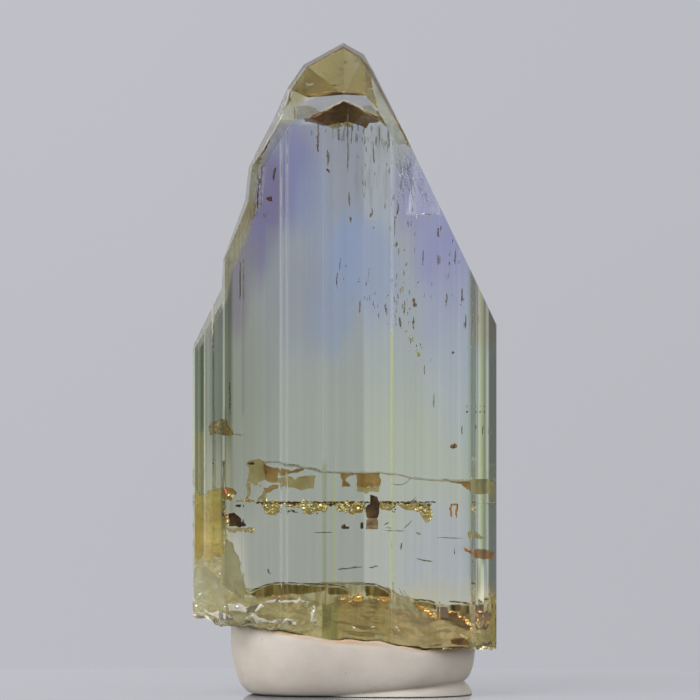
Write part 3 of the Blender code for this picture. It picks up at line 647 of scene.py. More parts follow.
# Masses at the left: the tan one, the khaki one under it and the haze beside them
TAN_LEFT = (
    (195.6, 488), (199, 494), (203, 488), (208, 494), (212, 487), (217, 489), (221, 484), (225, 490),
    (231, 493), (234, 498), (228, 500), (226, 508), (229, 520), (226, 532), (228, 546), (223, 557),
    (216, 551), (210, 560), (204, 554), (200, 562), (195.6, 556),
)
KHAKI_LEFT = (
    (195.6, 538), (203, 547), (212, 542), (221, 547), (225, 558), (226, 584), (236, 592), (250, 597),
    (262, 600), (256, 608), (247, 612), (244, 621), (228, 621), (212, 618), (203, 614), (196.5, 606),
    (195.6, 580),
)
HAZE_LEFT = (
    (226, 536), (232, 541), (238, 552), (242, 570), (248, 588), (253, 593), (238, 592), (227, 588),
    (223, 576), (224, 560),
)
# The crust at the right edge and the rust patch at the left
CRUST_RIGHT = (
    (489, 597), (492, 594), (496, 595), (496.4, 649), (489, 646), (488.4, 624), (489.6, 612),
)
PATCH = (
    (210.8, 433), (211.4, 425), (214, 421), (217, 419), (222, 417.6), (227, 419), (232, 425),
    (235.5, 433),
)
# Standing films along the far edge of the base
BAND_FILMS = (
    (((250, 593), (262, 587), (272, 584), (286, 583.6), (300, 584), (326, 585.6), (326, 590),
      (304, 593), (284, 593.6), (268, 596), (256, 596)), 0.6, 0.06),
    (((328, 586), (340, 586.6), (350, 590.6), (346, 594), (328, 593)), 0.6, 0.06),
    (((364.5, 584.6), (377, 585.4), (391, 594), (391, 596), (364.5, 595)), 0.6, 0.06),
    (((413, 600.6), (428, 601), (436, 604), (436, 609), (424, 605), (414, 604)), 0.4, 0.0),
    (((449.4, 603), (469, 604.5), (469, 613), (460, 611), (450, 609.5)), 0.4, 0.0),
)
# The khaki block and the taupe cloud on the base
BLOCK = (
    (329, 603), (340, 602), (364, 602), (369, 601.5), (391, 601.5), (393, 625), (392, 636), (372, 634),
    (340, 630), (322, 628), (324, 606),
)
TAUPE = (
    (393, 604), (404, 606), (416, 618), (430, 617), (438, 621), (452, 622), (469.4, 628), (469.4, 641),
    (452, 641), (430, 642), (405, 640), (392, 637),
)
# Pale sheets on the front of the base: painted reflection in its curved breaks
BREAK_REFLECTION_OUTLINES = (
    ((228, 601), (240, 600.5), (252, 603), (262, 600), (264, 603), (256, 608), (244, 609), (232, 606)),
    ((262, 597.4), (280, 596.4), (298, 596.2), (312, 601), (302, 599.4), (284, 598.6), (268, 600)),
    ((256, 610), (264, 615), (276, 617.2), (292, 615), (299, 616.5), (289, 619.6), (272, 620.4),
     (258, 618.0), (250, 613)),
    ((289, 618), (297, 617.6), (297.6, 622.4), (290, 622.6)),
    ((202, 606), (212, 610), (226, 611), (240, 614), (226, 616.4), (210, 614)),
    ((312, 603), (315, 602), (318, 609), (314.4, 616), (316, 623), (312, 620), (312, 610)),
)
# Pale sheets along the slopes beside the cap: painted reflection of the slope faces seen nearly edge-on
RIM_REFLECTION_OUTLINES = (
    ((371, 76), (380, 91), (394, 119), (406, 144), (398, 146), (388, 131), (378, 112), (373, 92)),
    ((291, 101), (284, 114), (277, 128), (270, 144), (264, 155), (261, 164), (265, 168), (272, 156),
     (280, 142), (288, 129), (295, 121), (295, 111)),
)
# Pale films in front of the ledge, at both ends of the arch: painted reflection of the whitish facet under
# the cap
LEDGE_REFLECTION_OUTLINES = (
    ((296, 107), (308, 106), (316, 109), (318, 113.5), (308, 118), (297, 120)),
    ((361, 106), (371, 106), (380, 118), (373, 115.5), (364, 110.5)),
)
# Fields of fine flecks: column and row at both ends, half width, count, longest fleck
FLECK_FIELDS = (
    (332, 130, 400, 146, 9, 40, 12.0),
    (372, 142, 416, 300, 22, 50, 7.0),
    (398, 296, 424, 366, 9, 22, 5.0),
    (340, 262, 392, 322, 14, 22, 7.0),
    (440, 226, 468, 330, 10, 20, 6.0),
    (256, 152, 262, 214, 6, 22, 9.0),
    (288, 92, 280, 122, 4, 12, 7.0),
)
# Thin dark upper edge of the base, a painted shade line along the break's far edge, and the grey-green fan
# beside the block
EDGE_SHADE_LINES = (
    (((250, 592), (262, 586.5), (272, 583.5), (286, 583), (300, 583.6), (326, 585)), 1.3),
    (((328, 585), (340, 586), (348, 589.5)), 1.2),
    (((364.5, 584), (377, 585), (385, 589), (391, 593)), 1.5),
    (((414, 600), (428, 600.5), (436, 603)), 1.5),
    (((449.5, 602), (462, 602.5), (469, 604)), 1.8),
    (((246, 614), (253, 616)), 1.8),
)
FAN_LINES = (
    (((399, 588), (402, 594), (404, 602)), 0.9),
    (((401, 594), (408, 600), (413, 610)), 1.1),
    (((403, 590), (412, 603), (416, 616)), 0.9),
    (((398, 600), (406, 606), (412, 616)), 1.2),
    (((408, 598), (414, 606), (418, 614)), 0.8),
)
# Small blocks, shards and films on and beside the base
BROWN_BLOCKS = (
    ((438, 607), (447.6, 607), (447.6, 617.6), (438.6, 615)),
    ((449.4, 634.5), (462, 634.5), (468.6, 639), (468.6, 644.6), (452, 645.4)),
    ((449.4, 609.6), (460, 611), (469, 613), (469, 627), (458, 622.6), (449.6, 617.6)),
    ((256, 590), (268, 586), (276, 586), (270, 591), (258, 594.6)),
)
GREEN_SHARDS = (
    ((374.5, 631), (381, 632), (382, 634.6), (375, 635)),
    ((383, 636.6), (391, 637), (393, 639.6), (384, 640.4)),
    ((304.5, 602.6), (308.6, 602), (308.8, 605.4), (305, 605.6)),
    ((279.6, 622), (283.4, 622), (283.4, 627), (280, 626.6)),
)
RIGHT_FILMS = (
    (((469, 477.6), (488, 477), (488, 492), (478, 492.5), (469, 490)), None, 0.0),
    (((488, 480), (494.6, 481), (494.6, 499), (489, 498)), None, 0.0),
)
# The bright line along the arch: points and width in pixels
ARCH_LINES = (
    (((304, 120.4), (314, 117.4), (324, 112.6), (335, 105.6), (344.5, 101)), 1.1),
    (((344.5, 101), (352, 104.6), (362, 110), (369, 115), (380, 120.8)), 1.1),
)
# The brown arch under the cap: a sheet that paints the dark-brown reflection in the steep facet there
ARCH = (
    (303, 120.5), (314, 117.5), (324, 113), (335, 106), (344.5, 101.5), (352, 105), (362, 110.5),
    (369, 115.5), (380, 121), (374, 123), (369, 122.5), (366, 128), (360, 125), (352, 123),
    (346, 122), (337, 123.5), (330, 125.5), (324, 125), (314, 123),
)
ARCH_INSET = 0.24
ARCH_LINE_LIFT = 0.10
RAY_START_Y = -HALF_DEPTH + 0.2
# Depth of the ledge's sheets of painted reflection, and the form of all these pale sheets
LEDGE_REFLECTION_Y = 1.1
REFLECTION_SHEET_FORM = dict(thick=0.04, ragged=0.05, relief=0.03)
# Tones across the arch: photograph column and colour
ARCH_TONES = (
    (300, (0.34, 0.13, 0.05)),
    (318, (0.40, 0.17, 0.06)),
    (328, (0.46, 0.23, 0.07)),
    (334, (0.22, 0.11, 0.02)),
    (348, (0.20, 0.10, 0.01)),
    (358, (0.36, 0.20, 0.04)),
    (366, (0.58, 0.38, 0.10)),
    (376, (0.42, 0.15, 0.07)),
)
ARCH_DARK = (0.10, 0.05, 0.02)

# Fan of pale hairs from the chip beside the right slope
FAN_HAIRS = 26
FAN_START_COLUMNS = (393, 412)
FAN_START_ROWS = (146, 160)
FAN_START_DROP = 22.0
FAN_END_COLUMNS = (398, 436)
FAN_END_ROWS = (172, 213)
FAN_EDGE_COLUMN = 402
FAN_EDGE_SLOPE = 0.62
FAN_WIDTHS = (0.5, 1.3)
FAN_Y = (-3.72, -3.55)
FAN_FOOT = ((413, 214.6), (439, 214.6))
FAN_FOOT_WIDTH = 1.4
FAN_FOOT_Y = -3.7

FLECK_Y = (-2.6, 2.2)
FLECK_WIDTHS = (0.5, 1.1)

# Iron-stained crust just inside the broken base
RIND_CELL = 0.11
RIND_SHARES = (0.985, 0.975)
RIND_GAP = 0.06
RIND_LIFT = 0.10
RIND_LIFT_SCALE = 1.7
RIND_CHIP_LIFT = 0.15
RIND_CHIP_MARGIN = 0.12
# Panels of the crust, from left to right: right edge as a photograph column,
# dark and light colour, and how strongly it is barred
RIND_PANELS = (
    (322, (0.54, 0.45, 0.22), (0.96, 0.88, 0.58), 0.1),
    (338, (0.34, 0.31, 0.11), (0.58, 0.54, 0.24), 0.8),
    (392, (0.52, 0.40, 0.15), (0.80, 0.64, 0.32), 0.3),
    (469, (0.50, 0.37, 0.17), (0.90, 0.72, 0.44), 0.1),
    (500, (0.44, 0.38, 0.12), (0.70, 0.62, 0.26), 0.7),
)
RIND_OLIVE = ((0.68, 0.60, 0.36), (1.00, 0.98, 0.80))
RIND_BACK_Y = (1.0, 1.8)
CRACK_MOUTH = ((0.52, 0.28, 0.08), (0.84, 0.60, 0.26))
CRACK_INSIDE = ((0.90, 0.86, 0.70), (0.98, 0.97, 0.90))
CRACK_MOUTH_Y = (-3.3, -2.6)

# Studio: the table in millimetres, the lamps and the camera in metres
FLOOR_RADIUS = 75.0
FLOOR_SIDES = 180
FLOOR_SHIFT = (0.0, -50.0, -0.02)
# Lamps: name, place, size, power, and whether they show in the glass
LAMPS = (
    ("key", (-0.12, -0.18, 0.26), 0.16, 0.40, True),
    ("left", (-0.22, -0.10, 0.05), 0.10, 0.34, False),
    ("right", (0.22, -0.10, 0.05), 0.10, 0.17, False),
)
LAMP_TARGET = (0.0, 0.0, 0.012)
# Surroundings: tone by how far to the side, and changes of level along an axis
AROUND = (
    (0.00, (0.510, 0.520, 0.560)),
    (0.34, (0.510, 0.520, 0.560)),
    (0.44, (0.800, 0.800, 0.830)),
    (0.70, (0.800, 0.800, 0.830)),
    (0.79, (0.130, 0.135, 0.140)),
    (0.84, (0.130, 0.135, 0.140)),
    (0.88, (0.200, 0.205, 0.210)),
    (0.93, (0.200, 0.205, 0.210)),
    (0.98, (0.420, 0.430, 0.460)),
)
LEVELS = (
    ("Z", 0.35, 0.80, 1.00, 2.20),
    ("X", -0.05, 0.05, 1.01, 0.96),
    ("X", 0.72, 0.78, 1.00, 1.80),
    ("Y", -0.985, -0.93, 0.12, 1.00),
    ("Z", -0.04, 0.04, 0.97, 1.01),
)
WINDOW_SIDE = (-0.60, -0.62, 0.50)
WINDOW_EDGE = (0.84, 0.94)
WINDOW_LEVEL = 3.0
CAMERA_DISTANCE = 0.40
CAMERA_RISE_DEG = 0.6
CAMERA_CLIP = (0.01, 10.0)
SENSOR = 36.0
BOUNCES = 24
GLOSSY_BOUNCES = 16
INDIRECT_CLAMP = 4.0


# Small helpers

def lerp(a, b, t):
    return a + (b - a) * t


def smooth(low, high, value):
    """Smooth step from 0 at low to 1 at high."""
    t = min(1.0, max(0.0, (value - low) / (high - low)))
    return t * t * (3.0 - 2.0 * t)


def column_x(column):
    return (column - MIDDLE_COLUMN) * PIXEL


def row_z(row):
    return (TABLE_ROW - row) * PIXEL


def spot(column, row):
    """x and z of a point that the photograph shows there."""
    return column_x(column), row_z(row)


def along(table, x):
    """Height over x of a line through the table's points."""
    for (x0, h0), (x1, h1) in zip(table, table[1:]):
        if x <= x1:
            return lerp(h0, h1, max(0.0, (x - x0) / (x1 - x0)))
    return table[-1][1]


def wobble(x, y, z, scale=1.0):
    """Smooth noise at a point."""
    return noise.noise(Vector((x, y, z)) * scale)


def link(name, data):
    item = bpy.data.objects.new(name, data)
    bpy.context.scene.collection.objects.link(item)
    return item


def new_object(name, bm, outward=True):
    """Object from a bmesh in millimetres."""
    bmesh.ops.scale(bm, vec=(MM, MM, MM), verts=bm.verts)
    if outward:
        bmesh.ops.recalc_face_normals(bm, faces=bm.faces)
    mesh = bpy.data.meshes.new(name)
    bm.to_mesh(mesh)
    bm.free()
    return link(name, mesh)


# Crystal shape

def strips(start, end, table, outward):
    """Points along a face with its upright growth lines."""
    points = [start]
    side = 1.0 if end[0] > start[0] else -1.0
    for x, width, height, flank in sorted(table, key=lambda strip: side * strip[0]):
        for shift, rise in (
            (-0.5 * width - flank, 0.0),
            (-0.5 * width, height),
            (0.5 * width, height),
            (0.5 * width + flank, 0.0),
        ):
            points.append((x + side * shift, start[1] + outward * rise))
    return points


def grooves(start, end, inward, seed):
    """Points along a side face with shallow upright grooves."""
    rng = random.Random(seed)
    points = [start]
    length = end[1] - start[1]
    for groove in range(SIDE_GROOVES):
        middle = start[1] + length * (groove + 0.6) / (SIDE_GROOVES + 0.2)
        half = math.copysign(rng.uniform(*SIDE_GROOVE_HALF_WIDTHS), length)
        depth = inward * SIDE_GROOVE_DEPTH * rng.uniform(0.4, 1.0)
        points.append((start[0], middle - half))
        points.append((start[0] + depth, middle - 0.3 * half))
        points.append((start[0], middle + half))
    return points


def stepped(start, end, steps, tread_first):
    """Points along a bevel that is made of small steps."""
    points = [start]
    for step in range(1, steps + 1):
        before = (step - 1) / steps
        after = step / steps
        tread = lerp(before, after, STEP_TREAD)
        riser = lerp(before, after, STEP_RISER)
        share_x, share_y = (riser, tread) if tread_first else (tread, riser)
        points.append((lerp(start[0], end[0], share_x), lerp(start[1], end[1], share_y)))
        if step < steps:
            points.append((lerp(start[0], end[0], after), lerp(start[1], end[1], after)))
    return points


def prism_section():
    front_left = (FRONT_LEFT_X, -HALF_DEPTH)
    front_right = (FRONT_RIGHT_X, -HALF_DEPTH)
    right_front = (SIDE_X, FRONT_BEVEL_RIGHT_Y)
    right_back = (SIDE_X, BACK_BEVEL_RIGHT_Y)
    back_right = (BACK_RIGHT_X, HALF_DEPTH)
    back_left = (BACK_LEFT_X, HALF_DEPTH)
    left_back = (-SIDE_X, BACK_BEVEL_LEFT_Y)
    left_front = (-SIDE_X, FRONT_BEVEL_LEFT_Y)
    outline = strips(front_left, front_right, FRONT_STRIPS, -1.0)
    outline += [front_right, *RIGHT_BEVEL]
    outline += grooves(right_front, right_back, -1.0, 3)
    outline += stepped(right_back, back_right, SIDE_STEPS, False)
    outline += strips(back_right, back_left, BACK_STRIPS, 1.0)
    outline += stepped(back_left, left_back, SIDE_STEPS, True)
    outline += grooves(left_back, left_front, 1.0, 8)
    outline += [left_front, *reversed(LEFT_BEVEL)]
    return outline


def prism_blank():
    bm = bmesh.new()
    lower = [bm.verts.new((x, y, BLANK_BOTTOM_Z)) for x, y in prism_section()]
    bottom = bm.faces.new(lower)
    raised = bmesh.ops.extrude_face_region(bm, geom=[bottom])["geom"]
    moved = [part for part in raised if isinstance(part, bmesh.types.BMVert)]
    bmesh.ops.translate(bm, vec=(0.0, 0.0, BLANK_TOP_Z - BLANK_BOTTOM_Z), verts=moved)
    return new_object("tanzanite_body", bm)


def beyond(inner, outer, reach):
    """The line from inner through outer, carried on to that depth."""
    share = (math.copysign(reach, outer[1]) - inner[1]) / (outer[1] - inner[1])
    return tuple(lerp(a, b, share) for a, b in zip(inner, outer))


def station_points(index):
    """The termination's points from front to back at one station."""
    outer, front, back, ridge_y = STATIONS[index]
    ridge = (outer[0], ridge_y, outer[1])
    front_edge = (front[0], -HALF_DEPTH, front[1])
    back_edge = (back[0], HALF_DEPTH, back[1])
    if index in CAP_LEDGE:
        upper, lower = CAP_LEDGE[index]
    else:
        upper = tuple(lerp(a, b, 1.0 / 3.0) for a, b in zip(ridge, back_edge))
        lower = tuple(lerp(a, b, 2.0 / 3.0) for a, b in zip(ridge, back_edge))
    return [
        beyond(ridge, front_edge, CUT_REACH_Y),
        ridge,
        upper,
        lower,
        beyond(lower, back_edge, CUT_REACH_Y),
    ]


def run_out(near, far, x):
    """The line from near through far, carried on to that x."""
    share = (x - near[0]) / (far[0] - near[0])
    return (x, far[1], lerp(near[2], far[2], share))


def termination_solid():
    """Everything under the crystal's stepped top."""
    rows = [station_points(index) for index in range(len(STATIONS))]
    first = [run_out(b, a, -CUT_REACH_X) for a, b in zip(rows[0], rows[1])]
    last = [run_out(b, a, CUT_REACH_X) for a, b in zip(rows[-1], rows[-2])]
    rows = [first] + rows + [last]
    bm = bmesh.new()
    grid = [[bm.verts.new(point) for point in row] for row in rows]
    top_faces = []
    for here, there in zip(grid, grid[1:]):
        for level in range(len(here) - 1):
            corners = (here[level], there[level], there[level + 1], here[level + 1])
            top_faces.append(bm.faces.new(corners))
    feet = [
        [bm.verts.new((row[end].co.x, row[end].co.y, CUT_FLOOR_Z)) for end in (0, -1)]
        for row in (grid[0], grid[-1])
    ]
    bm.faces.new([row[0] for row in grid] + [feet[1][0], feet[0][0]])
    bm.faces.new([row[-1] for row in grid] + [feet[1][1], feet[0][1]])
    bm.faces.new(grid[0] + [feet[0][1], feet[0][0]])
    bm.faces.new(grid[-1] + [feet[1][1], feet[1][0]])
    bm.faces.new([feet[0][0], feet[0][1], feet[1][1], feet[1][0]])
    bmesh.ops.triangulate(bm, faces=top_faces)
    return new_object("cut_termination", bm)


def smooth_base(x, y):
    share = (y + HALF_DEPTH) / (2.0 * HALF_DEPTH)
    return lerp(along(BASE_FRONT, x), along(BASE_BACK, x), share)


def rough_base(x, y):
    """Hackly ridges like the solid's, with finer ones on them."""
    ridge_slice, small_slice, fine_slice = BASE_NOISE_SLICES
    ridge = 1.0 - 2.0 * abs(wobble(x, BASE_RIDGE_STRETCH * y, ridge_slice, BASE_ROUGH_SCALE))
    small = noise.noise(Vector((x, y, small_slice)) * BASE_SMALL_SCALE * BASE_ROUGH_SCALE)
    fine = 1.0 - 2.0 * abs(wobble(BASE_FINE_SCALES[0] * x, BASE_FINE_SCALES[1] * y, fine_slice))
    inward = min(1.0, max(0.0, (y + HALF_DEPTH) / CALM_FRONT_DEPTH))
    share = lerp(CALM_FRONT_SHARE, 1.0, inward) * lerp(1.0, CALM_BACK_SHARE, smooth(*CALM_BACK_Y, y))
    rough = BASE_ROUGHNESS * (ridge - BASE_RIDGE_LEVEL + BASE_SMALL_SHARE * small) + BASE_FINE * fine
    return smooth_base(x, y) + share * rough


def base_block():
    """Everything under the rough base."""
    columns = int(2.0 * CUT_REACH_X / BASE_CELL)
    rows = int(2.0 * CUT_REACH_Y / BASE_CELL)
    bm = bmesh.new()
    bmesh.ops.create_grid(bm, x_segments=columns, y_segments=rows, size=1.0)
    for vert in bm.verts:
        x = vert.co.x * CUT_REACH_X
        y = vert.co.y * (CUT_REACH_Y + 1.0)
        vert.co = (x, y, rough_base(x, y))
    rim = [edge for edge in bm.edges if edge.is_boundary]
    skirt = bmesh.ops.extrude_edge_only(bm, edges=rim)["geom"]
    for part in skirt:
        if isinstance(part, bmesh.types.BMVert):
            part.co.z = CUT_FLOOR_Z
    bmesh.ops.holes_fill(bm, edges=[edge for edge in bm.edges if edge.is_boundary])
    bmesh.ops.triangulate(bm, faces=[face for face in bm.faces if len(face.verts) == 4])
    return new_object("cut_base", bm)


def chip_centre(place, outward, radius, depth):
    return Vector(place) + Vector(outward).normalized() * (radius - depth)


def chip_cutter(index, place, outward, radius, depth):
    """Ball with concentric ripples, for a curved break."""
    bm = bmesh.new()
    bmesh.ops.create_icosphere(bm, subdivisions=5, radius=radius)
    centre = chip_centre(place, outward, radius, depth)
    start = Vector(place) + Vector((0.4 * radius, 0.0, -0.3 * radius)) - centre
    for vert in bm.verts:
        far = (vert.co - start).length
        ripple = CHIP_RIPPLE * math.sin(far * CHIP_RIPPLES_PER_MM)
        vert.co += vert.normal * (ripple + CHIP_LUMP * noise.noise(vert.co * CHIP_LUMP_SCALE))
    bmesh.ops.translate(bm, vec=centre, verts=bm.verts)
    return new_object(f"cut_chip_{index}", bm)


def feather_cutter():
    """Tilted round-backed bar with ribs that run down it."""
    bm = bmesh.new()
    bmesh.ops.create_circle(bm, cap_ends=True, radius=FEATHER_RADIUS, segments=FEATHER_SIDES)
    raised = bmesh.ops.extrude_face_region(bm, geom=list(bm.faces))["geom"]
    upper = {part for part in raised if isinstance(part, bmesh.types.BMVert)}
    for vert in bm.verts:
        turn = math.atan2(vert.co.y, vert.co.x)
        rib = FEATHER_RIB * wobble(turn * FEATHER_RIB_SCALE, 0.0, 1.0)
        vert.co *= 1.0 + rib
        vert.co.x += FEATHER_X
        vert.co.y -= HALF_DEPTH + FEATHER_RADIUS
        if vert in upper:
            vert.co.z = FEATHER_TOP_Z
        else:
            vert.co.y += FEATHER_DEPTH
            vert.co.z = FEATHER_FOOT_Z
    return new_object("cut_feather", bm)


def carve(item, cutters):
    """Cuts the blank, and marks the faces that a break left."""
    clear = bpy.data.materials.new("face_kept")
    broken = bpy.data.materials.new("face_broken")
    item.data.materials.append(clear)
    for cutter, operation, is_break in cutters:
        cutter.data.materials.append(broken if is_break else clear)
        modifier = item.modifiers.new(cutter.name, "BOOLEAN")
        modifier.operation = operation
        modifier.solver = "EXACT"
        modifier.material_mode = "TRANSFER"
        modifier.object = cutter
    graph = bpy.context.evaluated_depsgraph_get()
    mesh = bpy.data.meshes.new_from_object(item.evaluated_get(graph))
    item.modifiers.clear()
    item.data = mesh
    marks = {index for index, material in enumerate(mesh.materials) if material == broken}
    layer = mesh.attributes.new("broken", "FLOAT", "FACE")
    for polygon in mesh.polygons:
        layer.data[polygon.index].value = 1.0 if polygon.material_index in marks else 0.0
        polygon.material_index = 0
        polygon.use_smooth = False
    mesh.materials.clear()
    for cutter, _, _ in cutters:
        bpy.data.objects.remove(cutter, do_unlink=True)
    bpy.data.materials.remove(clear)
    bpy.data.materials.remove(broken)


def make_crystal(material):
    body = prism_blank()
    cutters = [(termination_solid(), "INTERSECT", False), (base_block(), "DIFFERENCE", True)]
    for index, chip in enumerate(CHIPS):
        cutters.append((chip_cutter(index, *chip), "DIFFERENCE", True))
    cutters.append((feather_cutter(), "DIFFERENCE", True))
    carve(body, cutters)
    body.data.materials.append(material)
    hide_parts("crystal")
    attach(body, "root")
    return body


# Pad shape

def plan_radius(angle):
    """Radius of the pad's rounded outline seen from above."""
    along_x = abs(math.cos(angle) / PAD_HALF_LENGTH) ** PAD_PLAN_POWER
    along_y = abs(math.sin(angle) / PAD_HALF_DEPTH) ** PAD_PLAN_POWER
    return (along_x + along_y) ** (-1.0 / PAD_PLAN_POWER)


def pad_point(angle, share, z):
    radius = plan_radius(angle) * share
    x = radius * math.cos(angle)
    y = radius * math.sin(angle)
    lump = wobble(x, y, 0.0, PAD_LUMP_SCALE) * PAD_LUMP * share * share
    return (PAD_CENTRE_X + x * (1.0 + lump), PAD_CENTRE_Y + y * (1.0 + lump), z)


def fold_height(x, y):
    """Height of the fold along the foot; it dies out at the left and behind."""
    rise = min(1.0, max(0.0, (x - FOLD_START_X) / (FOLD_END_X - FOLD_START_X)))
    return FOLD_RISE * rise * smooth(FOLD_BACK_Y, FOLD_FRONT_Y, y)


def seat_height(x, y):
    """The putty's surface under the crystal, with the little lip around it."""
    outside_x = max(0.0, abs(x) - SIDE_X + SEAT_SIDE_OVERLAP)
    outside_y = max(0.0, abs(y) - HALF_DEPTH)
    lip = SEAT_LIP * smooth(0.0, SEAT_LIP_WIDTH, outside_x + outside_y)
    return rough_base(x, y) - SEAT_GAP + lip


def pad_profile(angle):
    """The pad's side from the table up to its widest, and its top in to the middle."""
    rim_x, rim_y, _ = pad_point(angle, 1.0, 0.0)
    equator = PAD_EQUATOR_SHARE * PAD_CROWN * smooth_base(rim_x, rim_y)
    fold = fold_height(rim_x, rim_y)
    flat_share = lerp(PAD_FLAT_SHARE, FOLD_FLAT_SHARE, smooth(0.0, FOLD_FULL_RISE, fold))
    points = []
    for ring in range(PAD_SIDE_RINGS):
        z = equator * ring / PAD_SIDE_RINGS
        inward = 1.0 - abs(z - fold) / (equator - fold)
        bulge = (1.0 - max(0.0, inward) ** PAD_ROUND_POWER) ** (1.0 / PAD_ROUND_POWER)
        points.append(pad_point(angle, lerp(flat_share, 1.0, bulge), z))
    at_end = smooth(PAD_END_START, 1.0, -math.cos(angle))
    power = lerp(PAD_SHOULDER_POWER, PAD_END_POWER, at_end)
    for ring in range(PAD_TOP_RINGS):
        turn = 0.5 * math.pi * ring / PAD_TOP_RINGS
        share = math.cos(turn)
        x, y, _ = pad_point(angle, share, 0.0)
        crown = PAD_CROWN * smooth_base(x, y)
        rise = (1.0 - share**power) ** (1.0 / power)
        points.append((x, y, min(lerp(equator, crown, rise), seat_height(x, y))))
    return points


def make_pad(material):
    bm = bmesh.new()
    rings = []
    for segment in range(PAD_SEGMENTS):
        angle = 2.0 * math.pi * segment / PAD_SEGMENTS
        rings.append([bm.verts.new(point) for point in pad_profile(angle)])
    crown_z = seat_height(PAD_CENTRE_X, PAD_CENTRE_Y)
    crown = bm.verts.new((PAD_CENTRE_X, PAD_CENTRE_Y, crown_z))
    for here, there in zip(rings, rings[1:] + rings[:1]):
        for level in range(len(here) - 1):
            bm.faces.new((here[level], there[level], there[level + 1], here[level + 1]))
        bm.faces.new((here[-1], there[-1], crown))
    bm.faces.new([ring[0] for ring in reversed(rings)])
    for _ in range(PAD_SMOOTHINGS):
        bmesh.ops.smooth_vert(
            bm, verts=bm.verts, factor=0.5, use_axis_x=True, use_axis_y=True, use_axis_z=True
        )
    pad = new_object("putty_lump", bm)
    pad.data.shade_smooth()
    pad.data.materials.append(material)
    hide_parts("putty_pad")
    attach(pad, "root")
    return pad


# Materials

class Nodes:
    """Short-hand for building the node tree of a material or of the surroundings."""

    def __init__(self, owner, shader):
        owner.use_nodes = True
        self.owner = owner
        self.tree = owner.node_tree
        self.shader = self.tree.nodes[shader]

    def add(self, kind, **values):
        node = self.tree.nodes.new("ShaderNode" + kind)
        for name, value in values.items():
            setattr(node, name, value)
        return node

    def join(self, source, target):
        self.tree.links.new(source, target)

    def fill(self, socket, value):
        if isinstance(value, bpy.types.NodeSocket):
            self.join(value, socket)
        elif socket.type == "RGBA" and len(value) == 3:
            socket.default_value = (*value, 1.0)
        else:
            socket.default_value = value

    def dial(self, name, value):
        """Sets or joins one input of the shader."""
        self.fill(self.shader.inputs[name], value)

    def math(self, operation, a, b=0.0, c=0.0):
        node = self.add("Math", operation=operation)
        for socket, value in zip(node.inputs, (a, b, c)):
            self.fill(socket, value)
        return node.outputs[0]

    def times(self, a, b):
        return self.math("MULTIPLY", a, b)

    def minus(self, a, b):
        return self.math("SUBTRACT", a, b)

    def place(self):
        """Object coordinates in millimetres, whole and as x, y, z."""
        scale = self.add("VectorMath", operation="SCALE")
        scale.inputs["Scale"].default_value = 1.0 / MM
        self.join(self.add("TexCoord").outputs["Object"], scale.inputs[0])
        split = self.add("SeparateXYZ")
        self.join(scale.outputs[0], split.inputs[0])
        self.point = scale.outputs[0]
        self.x, self.y, self.z = split.outputs

    def noise(self, scale, detail=2.0, stretch=(1.0, 1.0, 1.0), rough=0.5):
        mapping = self.add("Mapping")
        mapping.inputs["Scale"].default_value = stretch
        self.join(self.point, mapping.inputs["Vector"])
        node = self.add("TexNoise")
        node.inputs["Scale"].default_value = scale
        node.inputs["Detail"].default_value = detail
        node.inputs["Roughness"].default_value = rough
        self.join(mapping.outputs[0], node.inputs["Vector"])
        return node.outputs["Fac"]

    def step(self, value, low, high, to_low=0.0, to_high=1.0, linear=False):
        """Change from to_low to to_high while the value goes from low to high."""
        kind = "LINEAR" if linear else "SMOOTHSTEP"
        node = self.add("MapRange", interpolation_type=kind)
        names = ("Value", "From Min", "From Max", "To Min", "To Max")
        for name, setting in zip(names, (value, low, high, to_low, to_high)):
            self.fill(node.inputs[name], setting)
        return node.outputs["Result"]

    def columns(self, low, high):
        return self.step(self.x, column_x(low), column_x(high))

    def rows(self, low, high):
        return self.step(self.z, row_z(low), row_z(high))

    def beside(self, column):
        """Distance from a column, to either side."""
        return self.math("ABSOLUTE", self.minus(self.x, column_x(column)))

    def ramp(self, value, stops):
        node = self.add("ValToRGB")
        elements = node.color_ramp.elements
        elements[0].position, elements[0].color = stops[0][0], (*stops[0][1], 1.0)
        elements[1].position, elements[1].color = stops[-1][0], (*stops[-1][1], 1.0)
        for position, colour in stops[1:-1]:
            elements.new(position).color = (*colour, 1.0)
        self.join(value, node.inputs["Fac"])
        return node.outputs["Color"]

    def spread(self, value, table):
        """Colours along a value, from a table of value and colour."""
        low, high = table[0][0], table[-1][0]
        stops = [((at - low) / (high - low), colour) for at, colour in table]
        return self.ramp(self.step(value, low, high, linear=True), stops)

    def curve(self, value, points, floor, ceiling):
        """Height over a value of a line through points that lie between floor and ceiling."""
        grey = [(at, ((height - floor) / (ceiling - floor),) * 3) for at, height in points]
        return self.math("MULTIPLY_ADD", self.spread(value, grey), ceiling - floor, floor)

    def mix(self, share, a, b, mode="MIX"):
        node = self.add("Mix", data_type="RGBA", blend_type=mode)
        self.fill(node.inputs[0], share)
        self.fill(node.inputs[6], a)
        self.fill(node.inputs[7], b)
        return node.outputs[2]

    def multiply(self, a, b):
        return self.mix(1.0, a, b, "MULTIPLY")

    def bump(self, height, strength, distance):
        node = self.add("Bump")
        node.inputs["Strength"].default_value = strength
        node.inputs["Distance"].default_value = distance * MM
        self.join(height, node.inputs["Height"])
        self.dial("Normal", node.outputs[0])


def surface(name):
    """A new material's nodes, with the place in millimetres ready."""
    n = Nodes(bpy.data.materials.new(name), "Principled BSDF")
    n.place()
    return n


